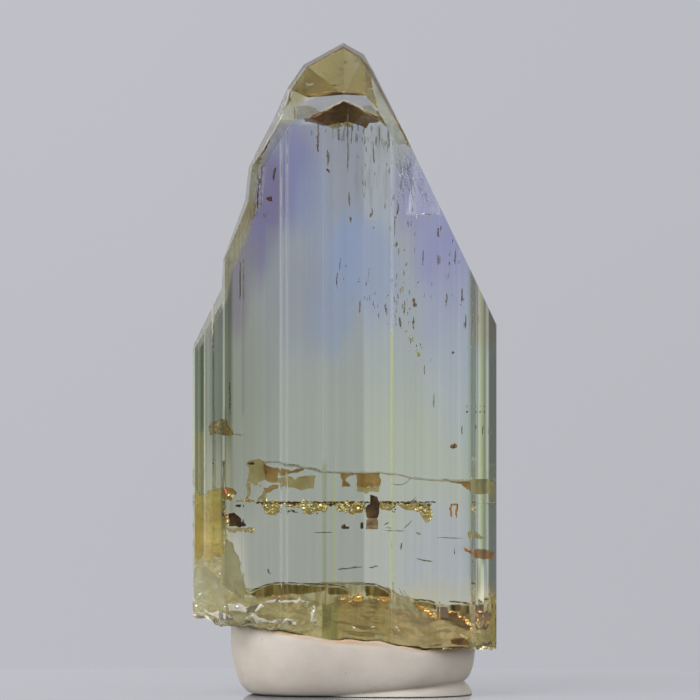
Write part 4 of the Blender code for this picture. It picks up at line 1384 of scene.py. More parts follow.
def zone(n, z, column, row, wide, tall, strength):
    """Soft oval patch centred where the photograph shows it."""
    across = n.math("DIVIDE", n.minus(n.x, column_x(column)), wide * PIXEL)
    upward = n.math("DIVIDE", n.minus(z, row_z(row)), tall * PIXEL)
    far = n.math("ADD", n.times(across, across), n.times(upward, upward))
    return n.step(far, 0.0, 1.0, strength, 0.0)


def by_column(table):
    return [(column_x(column), value) for column, value in table]


def line_height(n, line):
    """Height of a line of the front view over x."""
    return n.curve(n.x, [spot(*point) for point in line], 0.0, LINE_TOP)


def uneven_height(n, wave):
    """Height with soft waves and upright streaks in it, for the edges of the zones."""
    streak = n.noise(1.0, 3.0, STREAK_STRETCH)
    waved = n.math("ADD", n.z, n.times(n.minus(wave, 0.5), WAVE_HEIGHT))
    return n.math("ADD", waved, n.times(n.minus(streak, 0.5), STREAK_HEIGHT))


def with_bands(n, colour, bands):
    """Thin upright bands with soft ends."""
    for column, half, top, bottom, strength, tone in bands:
        soft = half + BAND_SOFT_COLUMNS
        share = n.step(n.beside(column), half * PIXEL, soft * PIXEL, strength, 0.0)
        share = n.times(share, n.rows(top, top + BAND_SOFT_ROWS))
        share = n.times(share, n.rows(bottom, bottom - BAND_SOFT_ROWS))
        colour = n.mix(share, colour, tone)
    return colour


def height_stops(tones):
    reach = HEIGHT_HIGH - HEIGHT_LOW
    return [((row_z(row) - HEIGHT_LOW) / reach, tone) for row, tone in tones]


def zoned_colour(n, z):
    """Tones that change with height, soft zones and thin bands."""
    level = n.step(z, HEIGHT_LOW, HEIGHT_HIGH, linear=True)
    left = n.ramp(level, height_stops(LEFT_TONES))
    right = n.ramp(level, height_stops(RIGHT_TONES))
    edge = column_x(TONE_EDGE_COLUMN)
    on_right = n.step(n.x, edge - TONE_EDGE_SOFTNESS, edge + TONE_EDGE_SOFTNESS)
    colour = n.mix(on_right, left, right)
    for *oval, tone in ZONES:
        colour = n.mix(zone(n, z, *oval), colour, tone)
    return with_bands(n, colour, BANDS)


def striped_sides(n, colour):
    """The dark and pale stripes of the two side bands, partly painted light and shade of the bevels."""
    pale = n.times(n.rows(*PALE_LEFT_ROWS), n.step(n.x, *PALE_LEFT_X))
    left = n.mix(pale, n.spread(n.x, by_column(LEFT_STRIPES)), PALE_LEFT)
    warm = n.times(n.rows(*WARM_RIGHT_ROWS), n.step(n.x, *WARM_RIGHT_X))
    tint = n.mix(warm, (1.0, 1.0, 1.0), WARM_RIGHT)
    right = n.multiply(n.spread(n.x, by_column(RIGHT_STRIPES)), tint)
    return with_bands(n, n.multiply(n.multiply(colour, left), right), SIDE_BANDS)


def streaked(n, colour, fine):
    """Upright growth streaks, and smoky ones under the cap."""
    broad = n.noise(1.0, 3.0, BROAD_STRETCH)
    for tone, (low, high, share, shade) in ((fine, FINE_STREAKS), (broad, BROAD_STREAKS)):
        colour = n.mix(n.step(tone, low, high, 0.0, share), colour, shade)
    smoke = n.step(n.noise(1.0, 4.0, SMOKE_STRETCH, 0.6), *SMOKE_RANGE)
    return n.mix(n.times(smoke, zone(n, n.z, *SMOKE_ZONE)), colour, SMOKE)


def pale_foot(n, colour, z):
    """Warm tint over the base, and the milky lower left corner."""
    foot = n.step(z, row_z(FOOT_ROWS[0]), row_z(FOOT_ROWS[1]))
    colour = n.mix(n.times(foot, FOOT_SHARE), colour, FOOT)
    return n.mix(n.times(n.columns(*MILKY_COLUMNS), n.rows(*MILKY_ROWS)), colour, MILKY)


def left_rim(n):
    """Share of the stepped left rim, which its own line bounds on the right."""
    points = [(row_z(row), column_x(column)) for row, column in LEFT_RIM]
    edge = n.curve(n.z, points, -SIDE_X, SIDE_X)
    foot = points[0][0]
    inside_edge = n.step(n.minus(edge, n.x), 0.0, 0.08)
    return n.times(inside_edge, n.step(n.z, foot, foot + RIM_FADE))


def cap_colour(n):
    tone = n.mix(n.columns(*CAP_RIGHT_COLUMNS), CAP_OLIVE, CAP_RIGHT)
    for column in CAP_EDGES:
        tone = n.mix(n.step(n.beside(column), 0.03, 0.09, 0.4, 0.0), tone, CAP_EDGE_TONE)
    return n.mix(zone(n, n.z, *CAP_LIGHT_ZONE), tone, CAP_LIGHT)


# Paints the whitish reflection band between the arch and the line over it
def reflection_band_over_arch(n, colour, wave):
    over = n.step(n.minus(n.z, line_height(n, ARCH_TOP)), -0.02, 0.06)
    under = n.step(n.minus(line_height(n, BAND_TOP), n.z), -0.02, 0.06)
    pale = n.mix(n.step(wave, 0.4, 0.6), *REFLECTION_BAND_TONES)
    return n.mix(n.times(over, under), colour, pale)


def crystal_roughness(n, in_left_rim, in_cap_rim):
    """Clear faces, matt breaks, and the two rims a little matt."""
    broken = n.add("Attribute", attribute_name="broken").outputs["Fac"]
    rough = n.times(broken, n.step(n.noise(1.3, 3.0), 0.42, 0.60, 0.10, 0.42))
    rough = n.math("MAXIMUM", rough, n.times(in_left_rim, RIM_ROUGHNESS))
    return n.math("MAXIMUM", rough, n.times(in_cap_rim, CAP_RIM_ROUGHNESS))


def absorb(n):
    """Plain absorption through the crystal's depth."""
    volume = n.add("VolumeAbsorption")
    volume.inputs["Color"].default_value = ABSORPTION_COLOUR
    volume.inputs["Density"].default_value = ABSORPTION_DENSITY
    n.join(volume.outputs[0], n.tree.nodes["Material Output"].inputs["Volume"])


def tanzanite():
    n = surface("tanzanite_zoned")
    n.dial("Transmission Weight", 1.0)
    n.dial("IOR", IOR)
    wave = n.noise(WAVE_SCALE, 3.0)
    fine = n.noise(1.0, 4.0, FINE_STRETCH, 0.6)
    uneven_z = uneven_height(n, wave)
    colour = striped_sides(n, zoned_colour(n, uneven_z))
    colour = pale_foot(n, streaked(n, colour, fine), uneven_z)
    in_left_rim = left_rim(n)
    colour = n.mix(in_left_rim, colour, n.mix(n.step(fine, 0.45, 0.60), *RIM_TONES))
    in_cap = n.rows(*CAP_ROWS)
    colour = n.mix(in_cap, colour, cap_colour(n))
    over_edge = n.step(n.minus(n.z, line_height(n, CAP_RIM)), -0.03, 0.06)
    in_cap_rim = n.times(over_edge, in_cap)
    colour = n.mix(in_cap_rim, colour, CAP_RIM_TONE)
    colour = n.mix(zone(n, n.z, *CAP_DARK_ZONE), colour, CAP_DARK)
    colour = reflection_band_over_arch(n, colour, wave)
    n.dial("Base Color", n.multiply(colour, TINT_LIFT))
    n.dial("Roughness", crystal_roughness(n, in_left_rim, in_cap_rim))
    n.bump(n.noise(1.0, 3.0, LINE_STRETCH, 0.6), 0.25, 0.010)
    absorb(n)
    return n.owner


def mottled(name, scale, tones, rough=(0.35, 0.60), metal=0.0, bump=0.3, clear=0.0,
            stretch=(1.0, 1.0, 1.0)):
    """Uneven colour between a few tones, from dark to light."""
    n = surface(name)
    tone = n.noise(scale, 4.0, stretch, 0.6)
    last = len(tones) - 1
    stops = [(0.32 + 0.36 * index / last, colour) for index, colour in enumerate(tones)]
    n.dial("Base Color", n.ramp(tone, stops))
    n.dial("Roughness", n.step(tone, 0.3, 0.7, *rough))
    n.dial("Metallic", metal)
    n.dial("Transmission Weight", clear)
    n.dial("IOR", FILM_IOR)
    n.bump(n.noise(3.0 * scale, 3.0), bump, 0.03)
    return n.owner


def putty():
    n = surface("putty_offwhite")
    tone = n.noise(0.5, 4.0)
    colour = n.mix(n.step(tone, 0.3, 0.7), *PUTTY_TONES)
    # Dark spots of painted shade where the putty has pits
    pit_shade_spots = n.noise(3.2, 2.0, (1.0, 1.0, 0.45))
    colour = n.mix(n.step(pit_shade_spots, 0.72, 0.77, 0.0, 0.60), colour, PUTTY_PIT_SHADE)
    # Brown along the front, just under the seat line
    under = n.minus(line_height(n, SEAT_LINE), n.z)
    seam_brown = n.times(n.step(under, 0.14, -0.04), n.step(tone, 0.35, 0.6, 0.4, 0.9))
    seam_brown = n.times(seam_brown, n.step(n.y, *SEAM_FRONT_Y))
    n.dial("Base Color", n.mix(seam_brown, colour, PUTTY_SEAM_BROWN))
    n.dial("Roughness", n.step(tone, 0.2, 0.8, 0.62, 0.80))
    n.dial("Subsurface Weight", 0.25)
    n.dial("Subsurface Radius", SUBSURFACE_RADIUS)
    n.dial("Subsurface Scale", 1.0)
    n.bump(n.noise(2.4, 5.0), 0.30, 0.10)
    return n.owner


def table_material():
    n = surface("table_white")
    tone = n.noise(0.05, 2.0)
    n.dial("Base Color", n.mix(tone, *TABLE_TONES))
    n.dial("Roughness", n.step(tone, 0.0, 1.0, 0.04, 0.07))
    return n.owner


def rind_material():
    """Iron-stained crust in panels, olive and barred along its far side."""
    n = surface("iron_crust")
    tone = n.step(n.noise(1.1, 4.0, rough=0.65), 0.36, 0.64)
    bars = n.step(n.noise(1.0, 3.0, (5.0, 0.25, 0.25)), 0.40, 0.62)
    colour = None
    for edge, dark, light, barred in RIND_PANELS:
        share = n.math("MULTIPLY_ADD", bars, barred, n.times(tone, 1.0 - barred))
        panel = n.mix(share, dark, light)
        if colour is None:
            colour = panel
        else:
            colour = n.mix(n.step(n.x, start_x - 0.02, start_x + 0.04), colour, panel)
        start_x = column_x(edge)
    behind = n.mix(bars, *RIND_OLIVE)
    n.dial("Base Color", n.mix(n.step(n.y, *RIND_BACK_Y), colour, behind))
    n.dial("Roughness", n.step(tone, 0.0, 1.0, 0.35, 0.65))
    n.bump(n.noise(4.0, 3.0), 0.3, 0.04)
    return n.owner


def crack_material():
    """Iron stain of the open crack, brown near the front face and pale inside."""
    n = surface("iron_crack")
    tone = n.step(n.noise(1.4, 4.0, rough=0.6), 0.35, 0.65)
    mouth = n.mix(tone, *CRACK_MOUTH)
    inner = n.mix(tone, *CRACK_INSIDE)
    n.dial("Base Color", n.mix(n.step(n.y, *CRACK_MOUTH_Y), mouth, inner))
    n.dial("Roughness", n.step(tone, 0.0, 1.0, 0.10, 0.30))
    n.dial("Transmission Weight", 0.85)
    n.dial("IOR", FILM_IOR)
    n.bump(n.noise(4.0, 3.0), 0.2, 0.02)
    return n.owner


def arch_material():
    """Painted reflection of the arch: reddish left, dark in the middle, golden right."""
    n = surface("arch_painted_reflection")
    tone = n.noise(2.6, 4.0, rough=0.65)
    shifted = n.math("MULTIPLY_ADD", n.minus(tone, 0.5), 0.9, n.x)
    colour = n.spread(shifted, by_column(ARCH_TONES))
    n.dial("Base Color", n.mix(n.step(tone, 0.42, 0.60, 0.0, 0.6), colour, ARCH_DARK))
    n.dial("Roughness", 0.35)
    n.dial("Transmission Weight", 0.15)
    n.dial("IOR", FILM_IOR)
    n.bump(n.noise(7.0, 3.0), 0.4, 0.03)
    return n.owner


# Depths at which the small pieces lie

def front_skin(x, z):
    """Depth of the crystal's front surface there."""
    y = -HALF_DEPTH
    if x < FRONT_LEFT_X:
        y = along(LEFT_FLANK, x)
    elif x > FRONT_RIGHT_X:
        y = along(RIGHT_FLANK, x)
    for chip in CHIPS:
        centre = chip_centre(*chip)
        radius = chip[2]
        inner = radius * radius - (x - centre.x) ** 2 - (z - centre.z) ** 2
        if inner > 0.0:
            y = max(y, centre.y + math.sqrt(inner))
    return y


def behind_front(inset):
    return lambda x, z: front_skin(x, z) + inset


def on_base(inset):
    """Depth at which the broken base lies at that height."""
    def depth(x, z):
        front = along(BASE_FRONT, x)
        back = along(BASE_BACK, x)
        share = (z - inset - front) / (back - front)
        return lerp(-HALF_DEPTH, HALF_DEPTH, min(0.95, max(0.03, share)))
    return depth


def flat(y):
    return lambda x, z: y


def back_skin(tree):
    """Depth of the surface that a ray straight through the crystal leaves by."""
    def depth(x, z):
        start = Vector((x, RAY_START_Y, z)) * MM
        hit = tree.ray_cast(start, Vector((0.0, 1.0, 0.0)))[0]
        return HALF_DEPTH - ARCH_INSET if hit is None else hit.y / MM - ARCH_INSET
    return depth


# Small pieces inside the crystal

def inside(x, z, edge):
    hit = False
    for (x0, z0), (x1, z1) in zip(edge, edge[1:] + edge[:1]):
        if (z0 > z) != (z1 > z) and x < lerp(x0, x1, (z - z0) / (z1 - z0)):
            hit = not hit
    return hit


def kept_cells(edge, ragged, holes, seed):
    """Cells of a plate inside its outline, which noise makes ragged and opens."""
    kept = set()
    coarse, small = RAGGED_SCALES
    low_x, high_x = min(x for x, _ in edge) - ragged, max(x for x, _ in edge) + ragged
    low_z, high_z = min(z for _, z in edge) - ragged, max(z for _, z in edge) + ragged
    for i in range(int(low_x / CELL) - 1, int(high_x / CELL) + 2):
        for k in range(int(low_z / CELL) - 1, int(high_z / CELL) + 2):
            x, z = (i + 0.5) * CELL, (k + 0.5) * CELL
            shift = noise.noise_vector(Vector((x * coarse, z * coarse, seed)))
            fine = noise.noise_vector(Vector((x * small, z * small, seed + 3.0)))
            at_x = x + ragged * (shift.x + RAGGED_FINE_SHARE * fine.x)
            at_z = z + ragged * (shift.y + RAGGED_FINE_SHARE * fine.y)
            open_share = 0.5 + 0.5 * wobble(x * HOLE_SCALE, z * HOLE_SCALE, seed + 7.0)
            within = abs(x) < SIDE_X - SIDE_MARGIN
            if within and open_share >= holes and inside(at_x, at_z, edge):
                kept.add((i, k))
    return kept


def rim_edges(kept):
    edges = []
    for i, k in kept:
        for (di, dk), start, end in (
            ((0, -1), (i, k), (i + 1, k)),
            ((1, 0), (i + 1, k), (i + 1, k + 1)),
            ((0, 1), (i + 1, k + 1), (i, k + 1)),
            ((-1, 0), (i, k + 1), (i, k)),
        ):
            if (i + di, k + dk) not in kept:
                edges.append((start, end))
    return edges


def corner_levels(kept, edges):
    """How many steps each corner lies from the plate's rim."""
    level = {corner: 0 for edge in edges for corner in edge}
    corners = {(i + a, k + b) for i, k in kept for a in (0, 1) for b in (0, 1)}
    for step in range(1, PILLOW_STEPS + 1):
        ring = []
        for i, k in corners:
            if (i, k) in level:
                continue
            around = ((i + 1, k), (i - 1, k), (i, k + 1), (i, k - 1))
            if any(level.get(place) == step - 1 for place in around):
                ring.append((i, k))
        level.update((corner, step) for corner in ring)
    return {corner: level.get(corner, PILLOW_STEPS) for corner in corners}


def smooth_rim(spots, edges):
    """Rounds the stair-steps of a plate's rim."""
    beside = {}
    for a, b in edges:
        beside.setdefault(a, []).append(b)
        beside.setdefault(b, []).append(a)
    for _ in range(2):
        moved = {}
        for corner, others in beside.items():
            if len(others) == 2:
                x = sum(spots[other][0] for other in others)
                z = sum(spots[other][1] for other in others)
                moved[corner] = (0.5 * spots[corner][0] + 0.25 * x, 0.5 * spots[corner][1] + 0.25 * z)
        spots.update(moved)


def plate(bm, outline, depth, thick, ragged, holes, relief, seed):
    """Ragged plate with a thin rim, facing the front, from an outline in the photograph."""
    edge = [spot(*point) for point in outline]
    kept = kept_cells(edge, ragged, holes, seed)
    edges = rim_edges(kept)
    levels = corner_levels(kept, edges)
    spots = {corner: (corner[0] * CELL, corner[1] * CELL) for corner in levels}
    smooth_rim(spots, edges)
    coarse, small = RELIEF_SCALES
    front, back = {}, {}
    for corner, (x, z) in spots.items():
        wave = relief * wobble(x * coarse, z * coarse, seed + 11.0)
        wave += RELIEF_FINE_SHARE * relief * wobble(x * small, z * small, seed + 13.0)
        fullness = math.sqrt(levels[corner] / PILLOW_STEPS)
        full = thick * (PLATE_RIM_SHARE + (1.0 - PLATE_RIM_SHARE) * fullness)
        y = depth(x, z) + abs(relief) + wave
        front[corner] = bm.verts.new((x, y, z))
        back[corner] = bm.verts.new((x, y + full, z))
    close_slab(bm, kept, edges, front, back)


def close_slab(bm, kept, edges, front, back):
    """Faces of a thin slab of cells: both sides and the rim between them."""
    for i, k in kept:
        around = ((i, k), (i + 1, k), (i + 1, k + 1), (i, k + 1))
        bm.faces.new([front[corner] for corner in around])
        bm.faces.new([back[corner] for corner in reversed(around)])
    for a, b in edges:
        bm.faces.new((front[b], front[a], back[a], back[b]))


def stick(bm, start, end, width, rng, y0, y1):
    """Thin tapered crystal or hair between two points of the photograph."""
    (x0, z0), (x1, z1) = spot(*start), spot(*end)
    along_stick = Vector((x1 - x0, y1 - y0, z1 - z0))
    across = along_stick.cross(Vector((0.0, 1.0, 0.0)))
    across = across.normalized() if across.length > 1e-6 else Vector((1.0, 0.0, 0.0))
    away = across.cross(along_stick).normalized()
    count = max(3, int(along_stick.length / STICK_STEP))
    rings = []
    for step in range(count + 1):
        share = step / count
        centre = Vector((x0, y0, z0)) + along_stick * share
        centre += across * rng.uniform(-STICK_WANDER, STICK_WANDER) * width * PIXEL
        fullness = min(1.0, 4.0 * min(share, 1.0 - share) + 0.1)
        taper = STICK_END_SHARE + (1.0 - STICK_END_SHARE) * fullness
        size = 0.5 * width * PIXEL * taper * rng.uniform(*STICK_SIZES)
        ring = []
        for side in range(STICK_SIDES):
            turn = 2.0 * math.pi * side / STICK_SIDES + step * STICK_TWIST
            outward = across * math.cos(turn) + away * math.sin(turn)
            ring.append(bm.verts.new(centre + outward * size))
        rings.append(ring)
    for here, there in zip(rings, rings[1:]):
        for side in range(STICK_SIDES):
            after = (side + 1) % STICK_SIDES
            bm.faces.new((here[side], here[after], there[after], there[side]))
    bm.faces.new(list(reversed(rings[0])))
    bm.faces.new(rings[-1])


def chunk(bm, place, wide, tall, y, rng):
    """Irregular grain centred on a point of the photograph."""
    x, z = spot(*place)
    half_wide, half_tall = 0.5 * wide * PIXEL, 0.5 * tall * PIXEL
    half_deep = 0.5 * GRAIN_DEPTH_SHARE * min(wide, tall) * PIXEL
    made = bmesh.ops.create_icosphere(bm, subdivisions=1, radius=1.0)["verts"]
    lean = rng.uniform(-GRAIN_LEAN, GRAIN_LEAN)
    for vert in made:
        vert.co *= rng.uniform(*GRAIN_SIZES)
        at_x = x + half_wide * vert.co.x + lean * half_tall * vert.co.z
        kept_x = max(-GRAIN_REACH, min(GRAIN_REACH, at_x))
        vert.co = (kept_x, y + half_deep * vert.co.y, z + half_tall * vert.co.z)


def sheet_stations(line):
    """Evenly spaced points along a line of the photograph."""
    points = [spot(*point) for point in line]
    stations = []
    for (x0, z0), (x1, z1) in zip(points, points[1:]):
        count = max(1, int((x1 - x0) / SHEET_STEP))
        stations += [(lerp(x0, x1, i / count), lerp(z0, z1, i / count)) for i in range(count)]
    return stations + [points[-1]]


def sheet(bm, line, thick, y0, y1, seed):
    """Nearly level crack along a line of the photograph, running into the depth."""
    upper, lower = [], []
    for x, z in sheet_stations(line):
        near = y0 + SHEET_NEAR_WAVE * wobble(x * 1.3, 2.0, seed)
        far = y1 + SHEET_FAR_WAVE * wobble(x * 0.9, 5.0, seed)
        column_up, column_low = [], []
        for row in range(SHEET_ROWS + 1):
            y = lerp(near, far, row / SHEET_ROWS)
            wave = SHEET_ROUGH * wobble(x * 2.0, y * 1.2, seed)
            fullness = smooth(0.0, 0.15, min(row, SHEET_ROWS - row) / SHEET_ROWS)
            half = 0.5 * thick * (0.3 + 0.7 * fullness)
            column_up.append(bm.verts.new((x, y, z + wave + half)))
            column_low.append(bm.verts.new((x, y, z + wave - half)))
        upper.append(column_up)
        lower.append(column_low)
    close_sheet(bm, upper, lower)


def close_sheet(bm, upper, lower):
    """Faces of a sheet's two sides and of its four edges."""
    for side, flip in ((upper, False), (lower, True)):
        for here, there in zip(side, side[1:]):
            for row in range(SHEET_ROWS):
                face = [here[row], there[row], there[row + 1], here[row + 1]]
                bm.faces.new(reversed(face) if flip else face)
    for edge in (0, -1):
        for up, low, up_next, low_next in zip(upper, lower, upper[1:], lower[1:]):
            bm.faces.new((up[edge], low[edge], low_next[edge], up_next[edge]))
    for end in (0, -1):
        up, low = upper[end], lower[end]
        for row in range(SHEET_ROWS):
            bm.faces.new((up[row], up[row + 1], low[row + 1], low[row]))


# Makers of many small pieces

def scattered(runs, depth, seed):
    """Grains strewn along runs."""
    def maker(bm):
        rng = random.Random(seed)
        for left, right, left_row, right_row, half, count, small, large in runs:
            for _ in range(count):
                share = rng.random()
                column = lerp(left, right, share)
                row = lerp(left_row, right_row, share)
                row += half * rng.uniform(-1.0, 1.0) * rng.random() ** 0.3
                size = lerp(small, large, rng.random() ** 1.6)
                wide, tall = size * rng.uniform(0.7, 1.5), size * rng.uniform(0.6, 1.2)
                y = depth(*spot(column, row)) + rng.uniform(-0.12, 0.12)
                chunk(bm, (column, row), wide, tall, y, rng)
    return maker


def row_lip(bm):
    """Dark lip along the straight top of the golden row."""
    rng = random.Random(41)
    row = ROW_TOP + LIP_DROP
    for left in range(*LIP_COLUMNS, LIP_PITCH):
        if not LIP_BREAK[0] < left < LIP_BREAK[1]:
            stick(bm, (left, row), (left + LIP_LENGTH, row), LIP_WIDTH, rng, ROW_DEPTH, ROW_DEPTH)


def lines(table, depth, seed):
    """Thin sticks along broken lines: points and width in pixels."""
    def maker(bm):
        rng = random.Random(seed)
        for points, width in table:
            for start, end in zip(points, points[1:]):
                near, far = (depth(*spot(*point)) for point in (start, end))
                stick(bm, start, end, width, rng, near, far)
    return maker


def plates(outlines, depth, seed, thick, ragged, holes=0.0, relief=0.05):
    """Plates that all lie at one kind of depth."""
    def maker(bm):
        for index, outline in enumerate(outlines):
            plate(bm, outline, depth, thick, ragged, holes, relief, seed + index)
    return maker


def films(table, thick, seed, ragged=0.035, relief=0.05):
    """Plates that each have their own depth and open share."""
    def maker(bm):
        for index, (outline, y, holes) in enumerate(table):
            depth = behind_front(0.10) if y is None else flat(y)
            plate(bm, outline, depth, thick, ragged, holes, relief, seed + 3.7 * index)
    return maker


def hairs(table, seed, back):
    """Upright hairs, never behind the crystal's back faces."""
    def maker(bm):
        rng = random.Random(seed)
        for start, end, width, y in table:
            above = (start[0], start[1] - CLEAR_ROWS)
            y = min(y, *(back(*spot(*point)) for point in (start, above, end)))
            stick(bm, start, end, width, rng, y, y + rng.uniform(-0.2, 0.0))
    return maker


def specks(table, seed):
    """Specks of three grains each."""
    def maker(bm):
        rng = random.Random(seed)
        for place, wide, tall, y in table:
            for _ in range(3):
                column = place[0] + rng.uniform(-0.25, 0.25) * wide
                row = place[1] + rng.uniform(-0.3, 0.3) * tall
                grain_wide, grain_tall = wide * rng.uniform(0.5, 0.8), tall * rng.uniform(0.4, 0.8)
                chunk(bm, (column, row), grain_wide, grain_tall, y, rng)
    return maker


def dashes(bm):
    rng = random.Random(77)
    for start, end, width in DASHES:
        stick(bm, start, end, width, rng, *DASH_DEPTHS)


def feather_fan(bm):
    """Pale hairs that spread from the chip beside the right slope."""
    rng = random.Random(19)
    for index in range(FAN_HAIRS):
        share = index / (FAN_HAIRS - 1.0)
        column = lerp(*FAN_START_COLUMNS, rng.random())
        row = lerp(*FAN_START_ROWS, rng.random()) + FAN_START_DROP * share * rng.random()
        end_row = lerp(*FAN_END_ROWS, rng.uniform(0.3, 1.0))
        end_column = lerp(*FAN_END_COLUMNS, share) + rng.uniform(-2, 2)
        if end_column > FAN_EDGE_COLUMN + FAN_EDGE_SLOPE * (end_row - FAN_START_ROWS[0]):
            continue
        width = rng.uniform(*FAN_WIDTHS)
        y = FAN_Y[0] + 0.2 * rng.random()
        stick(bm, (column, row), (end_column, end_row), width, rng, y, FAN_Y[1])
    stick(bm, *FAN_FOOT, FAN_FOOT_WIDTH, rng, FAN_FOOT_Y, FAN_FOOT_Y)


def flecks(back):
    """Short upright flecks strewn through the upper crystal, never behind its back faces."""
    def maker(bm):
        rng = random.Random(31)
        for x0, row0, x1, row1, half, count, longest in FLECK_FIELDS:
            for _ in range(count):
                share = rng.random()
                column = lerp(x0, x1, share) + half * rng.uniform(-1.0, 1.0)
                row = lerp(row0, row1, share) + half * rng.uniform(-0.5, 0.5)
                end = (column + rng.uniform(-0.6, 0.6), row + longest * rng.uniform(0.3, 1.0))
                above = (column, row - CLEAR_ROWS)
                y = min(rng.uniform(*FLECK_Y), back(*spot(*above)), back(*spot(*end)))
                stick(bm, (column, row), end, rng.uniform(*FLECK_WIDTHS), rng, y, y)
    return maker


def in_chip(x, y):
    """Whether a chip takes the crust away there."""
    place = Vector((x, y, rough_base(x, y) + RIND_CHIP_LIFT))
    for chip in CHIPS:
        if (place - chip_centre(*chip)).length < chip[2] + RIND_CHIP_MARGIN:
            return True
    return False


def rind_cells():
    """Cells of the crust that lie inside the section and outside the chips."""
    section = [(x * RIND_SHARES[0], y * RIND_SHARES[1]) for x, y in prism_section()]
    step = RIND_CELL
    reach_i, reach_k = int(SIDE_X / step) + 1, int(HALF_DEPTH / step) + 1
    kept = set()
    for i in range(-reach_i, reach_i):
        for k in range(-reach_k, reach_k):
            x, y = (i + 0.5) * step, (k + 0.5) * step
            corners = [(x + a * step, y + b * step) for a in (-0.5, 0.5) for b in (-0.5, 0.5)]
            if all(inside(cx, cy, section) and not in_chip(cx, cy) for cx, cy in corners):
                kept.add((i, k))
    return kept


def make_rind():
    bm = bmesh.new()
    kept = rind_cells()
    tops, bottoms = {}, {}
    for i, k in {(i + a, k + b) for i, k in kept for a in (0, 1) for b in (0, 1)}:
        x, y = i * RIND_CELL, k * RIND_CELL
        z = rough_base(x, y)
        uneven = RIND_LIFT * abs(wobble(x * RIND_LIFT_SCALE, y * RIND_LIFT_SCALE, 3.0))
        tops[i, k] = bm.verts.new((x, y, z + (RIND_LIFT + uneven)))
        bottoms[i, k] = bm.verts.new((x, y, z + RIND_GAP))
    close_slab(bm, kept, rim_edges(kept), tops, bottoms)
    return finish_piece("base_rind", bm, rind_material(), True)


def finish_piece(name, bm, material, even=False):
    item = new_object(name, bm)
    if even:
        item.data.shade_smooth()
    item.data.materials.append(material)
    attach(item, "root")
    return item


def group(name, material, *makers, even=False):
    """One piece from what its makers put into the same mesh."""
    bm = bmesh.new()
    for maker in makers:
        maker(bm)
    return finish_piece(name, bm, material, even)


# Masses over the base: piece, look, outlines, depth, seed and form
MASSES = (
    ("tan_left", "iron_column", [TAN_LEFT], behind_front(0.10), 2.0,
     dict(thick=0.40, ragged=0.22, holes=0.10, relief=0.12)),
    ("haze_left", "clay_haze", [HAZE_LEFT], behind_front(0.90), 7.0,
     dict(thick=0.10, ragged=0.12, holes=0.08)),
    ("khaki_left", "iron_khaki", [KHAKI_LEFT], behind_front(0.14), 2.0,
     dict(thick=0.60, ragged=0.12, relief=0.16)),
    ("block_khaki", "clay_block", [BLOCK], on_base(0.14), 8.0,
     dict(thick=0.30, ragged=0.04, relief=0.12)),
    ("cloud_taupe", "clay_taupe", [TAUPE], on_base(0.14), 9.0,
     dict(thick=0.35, ragged=0.04, relief=0.20)),
    # Pale sheets of painted reflection in the curved breaks
    ("break_reflections_pale", "pale_break_reflection", BREAK_REFLECTION_OUTLINES, behind_front(-0.06), 21.0,
     dict(thick=0.03, ragged=0.16, holes=0.14)),
    ("patch_rust", "iron_patch", [PATCH], behind_front(0.08), 26.0,
     dict(thick=0.20, ragged=0.12, holes=0.05, relief=0.14)),
)


# The crystal's inclusions, from the top down

def upper_inclusions(looks, back):
    """Hairs, flecks, specks and pale sheets of painted reflection in the upper half, and the brown sheet
    that paints the arch's reflection.
    """
    grey = looks["graphite_grey"]
    group("hairs_grey", grey, hairs(HAIRS, 5, back), hairs(STREAKS, 6, back))
    group("flecks_fine", looks["fleck_pale"], flecks(back))
    # The pale sheets beside the slopes and on the ledge are painted reflection
    strips_beside = plates(RIM_REFLECTION_OUTLINES, behind_front(0.10), 61.0, **REFLECTION_SHEET_FORM)
    on_ledge = plates(LEDGE_REFLECTION_OUTLINES, flat(LEDGE_REFLECTION_Y), 66.0, **REFLECTION_SHEET_FORM)
    group("rim_reflection_sheets", looks["pale_sheet_reflection"], strips_beside, on_ledge)
    group("specks_red", looks["rust_red"], specks(RED_SPECKS, 7))
    group("specks_pale", looks["straw_grains"], specks(PALE_SPECKS, 8))
    group("feather_fan", looks["feather_white"], feather_fan)
    # A brown sheet just inside the back faces paints the arch's reflection
    arch = plates([ARCH], back, 3.0, thick=0.08, ragged=0.04, relief=0.03)
    group("arch_reflection_sheet", arch_material(), arch)


def cracks():
    """The open crack across the lower third, its loop, and the healed one behind it."""
    crack = group(
        "crack_main", crack_material(),
        lambda bm: sheet(bm, CRACK, thick=0.045, y0=-3.7, y1=0.6, seed=4.0),
        lambda bm: sheet(bm, CRACK_LOOP, thick=0.03, y0=-3.2, y1=-1.6, seed=6.0),
        lambda bm: sheet(bm, HEALED_CRACK, thick=0.03, y0=0.8, y1=3.8, seed=8.0),
    )
    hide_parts("crystal")


def stained_films(looks):
    """Films and short cracks beside the open crack and over the base."""
    group("films_brown", looks["iron_brown"], films(BROWN_FILMS, 0.06, 1.0, ragged=0.09))
    group("films_tan", looks["iron_tan"], films(TAN_FILMS, 0.06, 2.0, ragged=0.12))
    group("films_rust", looks["iron_rust"], films(RUST_FILMS, 0.06, 3.0))
    group("films_dark", looks["graphite_and_edge_shade"], films(DARK_FILMS, 0.10, 4.0))
    group("films_pink", looks["clay_pink"], films(PINK_FILMS, 0.08, 5.0))
    group("films_right", looks["iron_tan"], films(RIGHT_FILMS, 0.06, 6.0))
    group("dashes_grey", looks["graphite_grey"], dashes)


